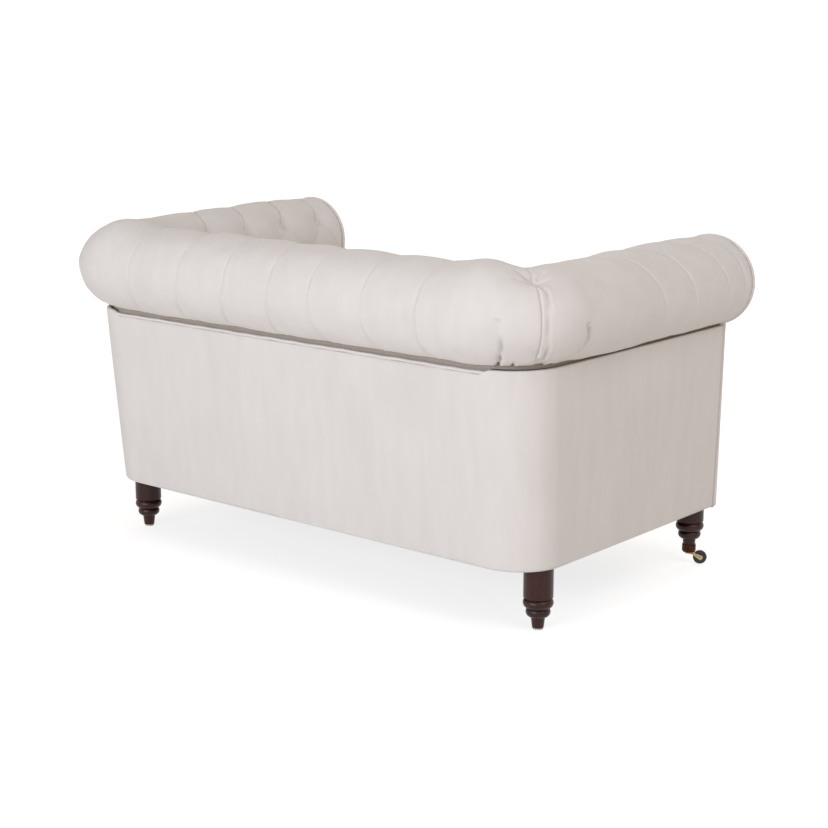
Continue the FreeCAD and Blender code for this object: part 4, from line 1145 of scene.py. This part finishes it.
@dataclass
class OutsideCover:
    """The cloth over the outside of the back and arms: one taut panel that leans out and turns corners."""

    bottom: float = 0.140
    foot_half_width: float = 0.6530
    foot_back: float = 0.3090
    foot_corner: float = 0.111
    top: float = 0.562
    top_half_width: float = 0.6640
    top_back: float = 0.3475
    top_corner: float = 0.122
    front: float = -0.4095
    thickness: float = 0.0112
    arm_top: float = 0.5722
    back_top: float = 0.5605
    round_bottom: float = 0.005
    counts: tuple[int, int, int] = (84, 36, 92)
    levels: int = 64
    pipe_radius: float = 0.0035
    pipe_end: float = 0.563

    def outline(self, z: Array, inset: Array) -> tuple[Array, Array]:
        """X and Y round the panel at each height, from the left arm's front to the right arm's front."""
        share = (z - self.bottom) / (self.top - self.bottom)
        half = self.foot_half_width + share * (self.top_half_width - self.foot_half_width) - inset
        back = self.foot_back + share * (self.top_back - self.foot_back) - inset
        radius = self.foot_corner + share * (self.top_corner - self.foot_corner) - inset
        along_back, round_corner, along_side = self.counts
        t = np.linspace(0, 1, along_back, endpoint=False)[:, None]
        x1, y1 = t * (half - radius), np.broadcast_to(back, (along_back, z.size))
        angle = np.linspace(0, math.pi / 2, round_corner, endpoint=False)[:, None]
        x2, y2 = half - radius + radius * np.sin(angle), back - radius + radius * np.cos(angle)
        t = np.linspace(0, 1, along_side)[:, None]
        x3, y3 = np.broadcast_to(half, (along_side, z.size)), back - radius + t * (self.front - back + radius)
        x, y = np.concatenate([x1, x2, x3]), np.concatenate([y1, y2, y3])
        return np.concatenate([-x[:0:-1], x]), np.concatenate([y[:0:-1], y])

    def build(self) -> None:
        """Makes the cover and the back's piping."""
        rounding = np.linspace(0, math.pi / 2, 5)
        face = np.linspace(self.bottom + self.round_bottom, 1.0, self.levels)
        inset_low = self.round_bottom * (1 - np.cos(rounding))[::-1]
        z_low = self.bottom + self.round_bottom * (1 - np.sin(rounding))[::-1]
        x0, _ = self.outline(np.array([self.bottom]), np.zeros(1))
        tops = self.back_top + (self.arm_top - self.back_top) * smooth_step(np.abs(x0[:, 0]), 0.541, 0.570)
        share = (face - face[0]) / (1.0 - face[0])
        low_edge = self.bottom + self.round_bottom
        deep = self.thickness
        inset = np.concatenate([
            inset_low, np.zeros(self.levels - 1), [0.0008, 0.003], [deep] * 4, [deep - 0.003]])
        heights = []
        for top in tops:
            rise = low_edge + share[1:] * (top - 0.003 - low_edge)
            over = [top - 0.0008, top, top, top - 0.02, 0.3, self.bottom + 0.004, self.bottom]
            heights.append(np.concatenate([z_low, rise, over]))
        z = np.array(heights)
        d = np.tile(inset, (len(tops), 1))
        grid = np.zeros(z.shape + (3,))
        for row in range(z.shape[1]):
            # Each column has its own height at this row, so the outline is taken at that height.
            x, y = self.outline(z[:, row], d[:, row])
            pick = np.arange(len(z))
            grid[:, row] = np.stack([x[pick, pick], y[pick, pick], z[:, row]], -1)
        front_rows = slice(len(z_low) - 1, len(z_low) + self.levels - 1)
        grid[:, front_rows] += self.pulls(grid[:, front_rows], tops)
        count, around = grid.shape[:2]
        quads = grid_faces(count, around, close_columns=True).tolist()
        caps = [list(range(around)), [(count - 1) * around + k for k in range(around)]]
        piece = outward(make_object("outside_cover", grid.reshape(-1, 3), quads + caps))
        replaced = ("outside_back", "outside_arm_left", "outside_arm_right")
        place_piece(piece, VELVET, ROOT, replaced)
        self.piping()

    def pulls(self, face: Array, tops: Array) -> Array:
        """How far the taut cloth leaves a flat face: a slight fullness, and pulls from its tacks."""
        normal = np.cross(np.gradient(face, axis=0), np.gradient(face, axis=1))
        normal = normal / (np.linalg.norm(normal, axis=-1, keepdims=True) + 1e-12)
        outwards = np.stack([face[..., 0], face[..., 1] + 0.1, np.zeros(face.shape[:2])], -1)
        normal = normal * np.sign((normal * outwards).sum(-1, keepdims=True))
        x, z = face[..., 0], face[..., 2]
        rise = (z - self.bottom) / (tops[:, None] - self.bottom)
        steps = np.linalg.norm(np.diff(face[:, 0], axis=0), axis=-1)
        path = np.concatenate([[0], np.cumsum(steps)])[:, None]
        full = 0.0016 * np.clip(4 * rise * (1 - rise), 0, 1)
        on_back = 1 - smooth_step(np.abs(x), 0.40, 0.53)
        tacks = np.cos(path * 2 * math.pi / 0.113) + 0.6 * np.cos(path * 2 * math.pi / 0.071 + 1.0)
        pulled = -0.0017 * on_back * np.exp(-(((1 - rise) / 0.075) ** 2)) * (1.0 + 0.6 * tacks)
        drift = 0.0005 * np.sin(path * 9 + 3 * z) + 0.0004 * np.sin(path * 23 - 11 * z + 1.3)
        return normal * (full + pulled + drift)[..., None]

    def piping(self) -> None:
        """Makes the piping cord along the back's top edge."""
        centre = self.back_top + self.pipe_radius + 0.0002
        x, y = self.outline(np.array([centre]), np.array([self.pipe_radius + 0.0006]))
        chosen = np.abs(x[:, 0]) <= self.pipe_end
        line = np.stack([x[chosen, 0], y[chosen, 0], np.full(chosen.sum(), centre)], -1)
        wave = 0.0004 * np.sin(np.arange(len(line)) * 0.55) + 0.0003 * np.sin(np.arange(len(line)) * 0.21 + 1)
        line[:, 2] += wave
        turned = []
        for end, step in ((line[0], line[0] - line[1]), (line[-1], line[-1] - line[-2])):
            ahead = step / np.linalg.norm(step)
            turned.append([end + ahead * 0.003 + [0, 0, -0.001], end + ahead * 0.0045 + [0, 0, -0.004],
                           end + ahead * 0.005 + [0, 0, -0.008]])
        line = np.concatenate([np.array(turned[0])[::-1], line, np.array(turned[1])])
        piece = tube("back_welt", line, self.pipe_radius, 14)
        place_piece(piece, VELVET, ROOT, ("back_piping",))


@dataclass
class ArmFacing:
    """The scroll-shaped panel on an arm's front, edged with a welt."""

    side: Side
    centre_x: float = 0.6226
    centre_z: float = 0.674
    half_width: float = 0.1085
    half_height: float = 0.0998
    inner_x: float = 0.5225
    outer_foot: float = 0.6515
    outer_top: float = 0.6600
    bottom: float = 0.1405
    back: float = -0.4092
    front: float = -0.4190
    welt: float = 0.0040
    tuck: float = 249.0
    turn: float = 0.006
    points: int = 90
    around: int = 360
    cell: float = 0.008
    crown: float = 0.0026
    crown_run: float = 0.018

    def outline(self) -> Array:
        """The panel's edge in X and Z, from the outer foot up, over the scroll and down the inner edge."""
        angle = np.linspace(math.radians(self.tuck), 0.0, self.points)
        x = self.centre_x - self.half_width * np.cos(angle)
        z = self.centre_z + self.half_height * np.sin(angle)
        foot = np.array([[self.inner_x + self.turn, self.bottom], [self.outer_foot - self.turn, self.bottom]])
        rise = np.linspace(self.bottom + self.turn, z[0] - 0.003, 34)
        lean = (rise - self.bottom) / (self.centre_z - self.half_height - self.bottom)
        outer = np.stack([self.outer_foot + lean * (self.outer_top - self.outer_foot), rise], -1)
        fall = np.linspace(self.centre_z - 0.008, self.bottom + self.turn, 60)
        blend = smooth_step(self.centre_z - fall, 0, 0.15)
        inner = np.stack([x[-1] + blend * (self.inner_x - x[-1]), fall], -1)
        line = np.concatenate([outer, np.stack([x, z], -1), inner, foot])
        line = resample(np.concatenate([line, line[:1]]), self.around + 1)[:-1]
        line[:, 0] *= self.side.value
        return line

    def within(self, points: Array, edge: Array) -> Array:
        """The points that lie inside the edge, clear of it."""
        after = np.roll(edge, -1, 0)
        rise = after[:, 1] - edge[:, 1]
        kept = []
        for x, z in points:
            crosses = (edge[:, 1] > z) != (after[:, 1] > z)
            run = after[crosses, 0] - edge[crosses, 0]
            at = edge[crosses, 0] + (z - edge[crosses, 1]) / rise[crosses] * run
            if (at > x).sum() % 2 and np.hypot(edge[:, 0] - x, edge[:, 1] - z).min() > self.cell:
                kept.append((x, z))
        return np.array(kept)

    def build(self) -> None:
        """Makes the panel and its welt."""
        edge = self.outline()
        ahead = np.roll(edge, -1, 0) - np.roll(edge, 1, 0)
        ahead /= np.linalg.norm(ahead, axis=1, keepdims=True)
        inwards = np.stack([ahead[:, 1], -ahead[:, 0]], -1) * self.side.value
        count = len(edge)
        low, high = edge.min(0), edge.max(0)
        across, up = (np.arange(low[k], high[k], self.cell) for k in range(2))
        grid = np.stack(np.meshgrid(across, up), -1)
        inside = self.within(grid.reshape(-1, 2), edge)
        rings = [edge + inwards * inset for inset in (0.0, 0.0012, 0.0028, 0.0048)]
        flat = np.concatenate([*rings, inside])
        rims = [(k * count + i, k * count + (i + 1) % count) for k in range(len(rings)) for i in range(count)]
        found = delaunay_2d_cdt([Vector(point) for point in flat], rims, [], 1, 1e-6)
        front = np.array([tuple(point) for point in found[0]])
        gap = np.array([np.sqrt(((edge - point) ** 2).sum(1)).min() for point in front])
        crown = self.crown * (1 - np.exp(-gap / self.crown_run)) + 0.0016 * np.clip(gap / 0.0048, 0, 1) ** 0.5
        face = np.stack([front[:, 0], self.front + 0.0016 - crown, front[:, 1]], -1)
        faces = [list(triangle) for triangle in found[2]]
        rim = [int(np.argmin(((front - point) ** 2).sum(1))) for point in edge]
        back = np.stack([edge[:, 0], np.full(count, self.back), edge[:, 1]], -1)
        start = len(face)
        faces += [[rim[i], rim[(i + 1) % count], start + (i + 1) % count, start + i] for i in range(count)]
        faces.append([start + i for i in range(count)])
        points = np.concatenate([face, back])
        piece = outward(make_object(f"arm_front_{self.side.label}", points, faces))
        place_piece(piece, VELVET, ROOT, (f"arm_facing_{self.side.label}",))
        line = np.stack([edge[:, 0], np.full(count, self.front - 0.0002), edge[:, 1]], -1)
        welt = tube(f"arm_front_welt_{self.side.label}", line, self.welt, 14, closed=True)
        place_piece(welt, VELVET, ROOT)


@dataclass
class SeatCushions:
    """The two loose seat cushions: a box case with welted edges, blown up by a cloth simulation."""

    inner: float = 0.0022
    outer: float = 0.5085
    front: float = -0.4165
    back: float = 0.1940
    low: float = 0.3004
    high: float = 0.4380
    corner: float = 0.020
    start_inset: float = 0.006
    voxel: float = 0.0075
    frames: int = 20
    cap: float = 0.022
    welt: float = 0.0040
    cloth: dict[str, Any] = field(default_factory=lambda: {
        "quality": 6, "mass": 0.35, "tension_stiffness": 22, "compression_stiffness": 16,
        "shear_stiffness": 8, "bending_stiffness": 0.6, "use_pressure": True, "uniform_pressure_force": 4.0,
    })

    def simulate(self, piece: Piece) -> None:
        """Blows the case up and keeps the result as its mesh."""
        remesh = piece.modifiers.new("remesh", "REMESH")
        remesh.mode = "VOXEL"
        remesh.voxel_size = self.voxel
        bpy.context.view_layer.update()
        mesh = bpy.data.meshes.new_from_object(piece.evaluated_get(bpy.context.evaluated_depsgraph_get()))
        piece.modifiers.remove(remesh)
        piece.data = mesh
        start = np.array([v.co for v in mesh.vertices])
        held = piece.vertex_groups.new(name="seam")
        lo, hi = start.min(0), start.max(0)
        edge_xy = np.minimum(start - lo, hi - start)[:, :2].min(1)
        edge_z = np.minimum(start - lo, hi - start)[:, 2]
        weight = np.exp(-((np.hypot(edge_xy, edge_z) / 0.010) ** 2))
        weight = np.where(start[:, 2] < lo[2] + 0.004, 1.0, weight)
        for index, value in enumerate(weight.tolist()):
            held.add([index], value, "REPLACE")
        cloth = piece.modifiers.new("cloth", "CLOTH")
        settings = cloth.settings
        for name, value in self.cloth.items():
            setattr(settings, name, value)
        settings.effector_weights.gravity = 0.0
        settings.vertex_group_mass = held.name
        cloth.collision_settings.use_collision = False
        scene = bpy.context.scene
        cloth.point_cache.frame_start = 1
        cloth.point_cache.frame_end = self.frames
        for number in range(1, self.frames + 1):
            scene.frame_set(number)
        blown = bpy.data.meshes.new_from_object(piece.evaluated_get(bpy.context.evaluated_depsgraph_get()))
        end = np.array([v.co for v in blown.vertices])
        piece.modifiers.remove(cloth)
        scene.frame_set(1)
        move = end - start
        length = np.linalg.norm(move, axis=1, keepdims=True)
        move *= np.minimum(1, self.cap / np.maximum(length, 1e-9))
        piece.data = blown
        blown.vertices.foreach_set("co", (start + move).ravel())

    def finish_shape(self, piece: Piece) -> None:
        """Subdivides the case once, then keeps it flat where it rests and clear of its neighbours."""
        smooth = piece.modifiers.new("smooth", "SUBSURF")
        smooth.levels = smooth.render_levels = 1
        bpy.context.view_layer.update()
        mesh = bpy.data.meshes.new_from_object(piece.evaluated_get(bpy.context.evaluated_depsgraph_get()))
        piece.modifiers.remove(smooth)
        piece.data = mesh
        points = np.array([v.co for v in mesh.vertices])
        points[:, 2] = np.maximum(points[:, 2], self.low)
        points[:, 0] = np.clip(points[:, 0], self.inner - 0.0018, self.outer + 0.006)
        points[:, 1] = np.clip(points[:, 1], self.front - 0.010, self.back + 0.004)
        x, y = points[:, 0], points[:, 1]
        wave = 0.0009 * np.sin(x * 31 + y * 13) * np.sin(y * 27 - x * 9 + 1)
        points[:, 2] += wave * smooth_step(points[:, 2], self.high - 0.01, self.high + 0.01)
        mesh.vertices.foreach_set("co", points.ravel())
        mesh.polygons.foreach_set("use_smooth", np.ones(len(mesh.polygons), bool))

    def seam_line(self, piece: Piece, z: float) -> Array:
        """Points of a welt round the case at about one height, on its skin."""
        skin = BVHTree.FromObject(piece, bpy.context.evaluated_depsgraph_get())
        half = np.array([self.outer - self.inner, self.back - self.front]) / 2
        middle = np.array([self.outer + self.inner, self.back + self.front]) / 2
        radius = self.corner + 0.012
        line = []
        for quarter, (sx, sy) in enumerate(((1, 1), (-1, 1), (-1, -1), (1, -1))):
            angle = np.linspace(quarter, quarter + 1, 14) * math.pi / 2
            centre = middle + np.array([sx, sy]) * (half - radius)
            line.append(centre + radius * np.stack([np.cos(angle), np.sin(angle)], -1))
        corners = np.concatenate(line + [line[0][:1]])
        flat = resample(corners, 481)[:-1]
        away = flat - middle
        away /= np.linalg.norm(away, axis=1, keepdims=True)
        out = []
        for (x, y), (dx, dy) in zip(flat, away):
            found = skin.find_nearest(Vector((x + dx * 0.01, y + dy * 0.01, z)))
            out.append(found[0] + found[1] * self.welt * 0.25)
        points = np.array(out)
        for _ in range(6):
            points = (np.roll(points, 1, 0) + points * 2 + np.roll(points, -1, 0)) / 4
        return points

    def build(self) -> None:
        """Makes both cushions, the left one as the right one's mirror image."""
        gap = self.start_inset
        low = (self.inner + gap, self.front + gap, self.low)
        high = (self.outer - gap, self.back - gap, self.high - gap)
        case = padded_slab("seat_cushion_case", low, high, self.corner, (0.0, 0.0, 0.006), 0.02)
        self.simulate(case)
        self.finish_shape(case)
        welts = [self.seam_line(case, z) for z in (self.high - 0.004, self.low + 0.013)]
        source = np.array([v.co for v in case.data.vertices])
        faces = [list(p.vertices) for p in case.data.polygons]
        bpy.data.objects.remove(case)
        for side in Side:
            mirror = np.array([side.value, 1, 1])
            body = f"{side.label}_cushion"
            order = faces if side is Side.RIGHT else [f[::-1] for f in faces]
            piece = make_object(f"seat_cushion_case_{side.label}", source * mirror, order)
            place_piece(piece, VELVET, body, (f"seat_cushion_{side.label}",))
            for label, line in zip(("upper", "lower"), welts):
                points = line * mirror
                clear = self.inner + self.welt * 0.55
                points[:, 0] = np.sign(side.value) * np.maximum(np.abs(points[:, 0]), clear)
                points[:, 2] = np.maximum(points[:, 2], self.low + self.welt)
                welt = tube(f"cushion_{label}_welt_{side.label}", points, self.welt, 12, closed=True)
                place_piece(welt, VELVET, body)


@dataclass
class SeatBase:
    """The upholstered front border, the felt deck under the cushions and the dust cloth under the frame."""

    border_low: Triple = (-0.5218, -0.4205, 0.1405)
    border_high: Triple = (0.5218, -0.4020, 0.2998)
    deck_low: Triple = (-0.563, -0.4010, 0.2762)
    deck_high: Triple = (0.563, 0.2470, 0.2998)
    cloth_half_width: float = 0.6395
    cloth_front: float = -0.4010
    cloth_back: float = 0.2960
    cloth_level: float = 0.1422
    cloth_corner: float = 0.095
    cloth_sag: float = 0.0012
    tack_pitch: float = 0.035

    def build(self) -> None:
        """Makes the three pieces."""
        crown = (0, 0.0022, 0)
        border = padded_slab("front_border_panel", self.border_low, self.border_high, 0.006, crown, 0.012)
        place_piece(border, VELVET, ROOT, ("front_border",))
        deck = padded_slab("deck_pad", self.deck_low, self.deck_high, 0.004, (0, 0, 0), 0.02)
        place_piece(deck, FELT, ROOT, ("seat_deck",))
        self.dust_sheet()

    def dust_sheet(self) -> None:
        """Makes the dust cloth: a thin stretched sheet, round at its rear corners, that sags a little."""
        count_x, count_y = 160, 88
        x = np.linspace(-1, 1, count_x)[:, None] * np.ones(count_y)
        y = np.linspace(self.cloth_front, self.cloth_back, count_y)[None, :] * np.ones((count_x, 1))
        past = np.clip(y - (self.cloth_back - self.cloth_corner), 0, self.cloth_corner)
        bend = np.sqrt(np.maximum(self.cloth_corner**2 - past**2, 1e-9))
        half = self.cloth_half_width - self.cloth_corner + bend
        x = x * half
        across = 1 - (x / half) ** 2
        depth = self.cloth_back - self.cloth_front
        along = (y - self.cloth_front) * (self.cloth_back - y) / (depth / 2) ** 2
        tacks = 0.0003 * np.cos(2 * math.pi * x / self.tack_pitch) * np.exp(-along * 14)
        z = self.cloth_level - self.cloth_sag * across * along + tacks * across
        sheet = np.stack([x, y, z], -1)
        thin = np.array([0, 0, 0.0005])
        points = np.concatenate([sheet.reshape(-1, 3), (sheet + thin).reshape(-1, 3)])
        low = grid_faces(count_x, count_y)
        high = grid_faces(count_x, count_y, start=count_x * count_y)[:, ::-1]
        index = np.arange(count_x * count_y).reshape(count_x, count_y)
        rim = np.concatenate([index[:, 0], index[-1, 1:], index[-2::-1, -1], index[0, -2:0:-1]])
        after = np.roll(rim, -1)
        shift = count_x * count_y
        wall = np.stack([rim, after, after + shift, rim + shift], -1)
        piece = outward(make_object("dust_sheet", points, np.concatenate([low, high, wall])))
        place_piece(piece, DUST_CLOTH, ROOT, ("dust_cover",))


@dataclass
class HardParts:
    """The CAD nodes that stay as they are: each only gets its finish."""

    finishes: dict[Finish, tuple[str, ...]] = field(default_factory=lambda: {
        LEG_WOOD: ("rear_leg_left", "rear_leg_right", "front_leg_left", "front_leg_right"),
        DARK_BROWN_BRASS: ("castor_cup_left", "castor_cup_right", "castor_screws"),
        BRASS: ("castor_fork_left", "castor_fork_right", "castor_axle_left", "castor_axle_right"),
        WHEEL_PLASTIC: ("castor_wheel_left", "castor_wheel_right"),
        GLIDE_PLASTIC: ("rear_glides",),
        ZINC: ("leg_plates", "plate_screws", "leg_bolts", "spring_clips"),
        SPRING_STEEL: ("seat_springs",),
        JUTE: ("back_webbing", "arm_webbing_left", "arm_webbing_right"),
    })

    def build(self) -> None:
        """Dresses every node that no piece has replaced."""
        chosen = {name: finish for finish, names in self.finishes.items() for name in names}
        for name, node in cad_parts.items():
            if node.hide_render:
                continue
            material = chosen.get(name, TIMBER).build()
            for place in node.material_slots:
                place.material = material
            if not node.material_slots:
                node.data.materials.append(material)
        LOG.info("hard parts: %d nodes dressed", sum(not n.hide_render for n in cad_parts.values()))


@dataclass
class Studio:
    """A plain white studio: camera, soft lamps, white world and a floor that keeps the sofa's shadow."""

    eye: Triple = (-2.7596, 3.1840, 1.2954)
    ahead: Triple = (0.6272, -0.7467, -0.2213)
    lens: float = 79.13
    sensor: float = 36.0
    ambient: float = 0.42
    ambient_colour: str = "FFF3E9"
    floor_half: float = 30.0
    floor_shade: str = "F2F0ED"
    glow_from: float = 1.0
    glow_to: float = 3.2
    glow_near: float = 0.765
    glow_far: float = 0.92

    def camera(self) -> None:
        """Puts the camera at the photograph's angle."""
        data = bpy.data.cameras.new("camera")
        data.lens = self.lens
        data.sensor_width = self.sensor
        data.sensor_fit = "HORIZONTAL"
        data.clip_end = 100
        data.dof.use_dof = False
        camera = bpy.data.objects.new("camera", data)
        bpy.context.scene.collection.objects.link(camera)
        camera.location = self.eye
        camera.rotation_euler = Vector(self.ahead).to_track_quat("-Z", "Y").to_euler()
        bpy.context.scene.camera = camera

    def lamp(self, name: str, place: Triple, size: tuple[float, float], power: float, colour: str) -> None:
        """Adds a soft box that points at the sofa.

        Args:
            name: the lamp's name.
            place: where it stands.
            size: its width and height.
            power: watts.
            colour: hex colour.
        """
        data = bpy.data.lights.new(name, "AREA")
        data.shape = "RECTANGLE"
        data.size, data.size_y = size
        data.energy = power
        data.color = linear(colour)[:3]
        lamp = bpy.data.objects.new(name, data)
        bpy.context.scene.collection.objects.link(lamp)
        lamp.location = place
        target = Vector((0, 0, 0.4))
        lamp.rotation_euler = (target - lamp.location).to_track_quat("-Z", "Y").to_euler()

    @staticmethod
    def seen(tree: Tree) -> Socket:
        """Adds the test for rays from the camera, or by way of gloss or glass."""
        rays = add_node(tree, "ShaderNodeLightPath").outputs
        found = rays["Is Camera Ray"]
        for kind in ("Is Glossy Ray", "Is Transmission Ray"):
            either = {0: found, 1: rays[kind]}
            found = add_node(tree, "ShaderNodeMath", either, operation="MAXIMUM").outputs[0]
        return found

    def world(self) -> None:
        """Makes the world white to the camera and a plain soft light to the sofa."""
        world = bpy.data.worlds.new("studio")
        world.use_nodes = True
        tree = world.node_tree
        tree.nodes.clear()
        soft = add_node(tree, "ShaderNodeBackground",
                        {"Color": linear(self.ambient_colour), "Strength": self.ambient})
        white = add_node(tree, "ShaderNodeBackground", {"Color": (1, 1, 1, 1), "Strength": 1.0})
        mix = add_node(tree, "ShaderNodeMixShader",
                       {0: self.seen(tree), 1: soft.outputs[0], 2: white.outputs[0]})
        add_node(tree, "ShaderNodeOutputWorld", {"Surface": mix.outputs[0]})
        bpy.context.scene.world = world

    def floor(self) -> None:
        """Makes the floor: white to the camera apart from the sofa's shadow, pale to the sofa."""
        h = self.floor_half
        corners = np.array([(-h, -h, 0), (h, -h, 0), (h, h, 0), (-h, h, 0)])
        floor = make_object("floor", corners, [(0, 1, 2, 3)])
        material = bpy.data.materials.new("painted_studio_floor")
        material.use_nodes = True
        tree = material.node_tree
        tree.nodes.clear()
        pale = add_node(tree, "ShaderNodeBsdfDiffuse", {"Color": linear(self.floor_shade)})
        shaded = add_node(tree, "ShaderNodeBsdfDiffuse", {"Color": (0.5, 0.5, 0.5, 1)})
        place = add_node(tree, "ShaderNodeTexCoord").outputs["Object"]
        distance = add_node(tree, "ShaderNodeVectorMath", {0: place}, operation="LENGTH").outputs["Value"]
        strength = add_node(tree, "ShaderNodeMapRange", {
            "Value": distance, "From Min": self.glow_from, "From Max": self.glow_to,
            "To Min": self.glow_near, "To Max": self.glow_far})
        glow = add_node(tree, "ShaderNodeEmission", {"Color": (1, 1, 1, 1), "Strength": strength.outputs[0]})
        shown = add_node(tree, "ShaderNodeAddShader", {0: shaded.outputs[0], 1: glow.outputs[0]})
        mix = add_node(tree, "ShaderNodeMixShader",
                       {0: self.seen(tree), 1: pale.outputs[0], 2: shown.outputs[0]})
        add_node(tree, "ShaderNodeOutputMaterial", {"Surface": mix.outputs[0]})
        floor.data.materials.append(material)

    def build(self) -> None:
        """Sets up the whole studio."""
        self.camera()
        self.world()
        self.floor()
        self.lamp("key_box", (-0.4, 5.6, 1.9), (3.6, 2.2), 153, "F0F4FF")
        self.lamp("top_box", (-3.2, 0.7, 3.5), (2.2, 2.2), 36, "FAFAFF")
        self.lamp("side_box", (-4.6, 0.4, 1.9), (2.4, 2.2), 8, "FFF4EA")
        self.lamp("front_box", (0.6, -4.2, 2.8), (3.0, 2.0), 30, "FFFAF4")
        bpy.context.scene.view_settings.view_transform = "Standard"


def main() -> None:
    """Builds the sofa piece by piece."""
    logging.basicConfig(level=logging.INFO, format="%(message)s")
    Studio().build()
    path, section = RollPath(), RollSection()
    tufting = Tufting(path, section)
    tufting.lay_out()
    pads = RollPads(path, section, tufting)
    pads.build()
    CoveredButtons().build(pads)
    OutsideCover().build()
    for side in Side:
        ArmFacing(side).build()
    SeatCushions().build()
    SeatBase().build()
    HardParts().build()


if __name__ == "__main__":
    main()
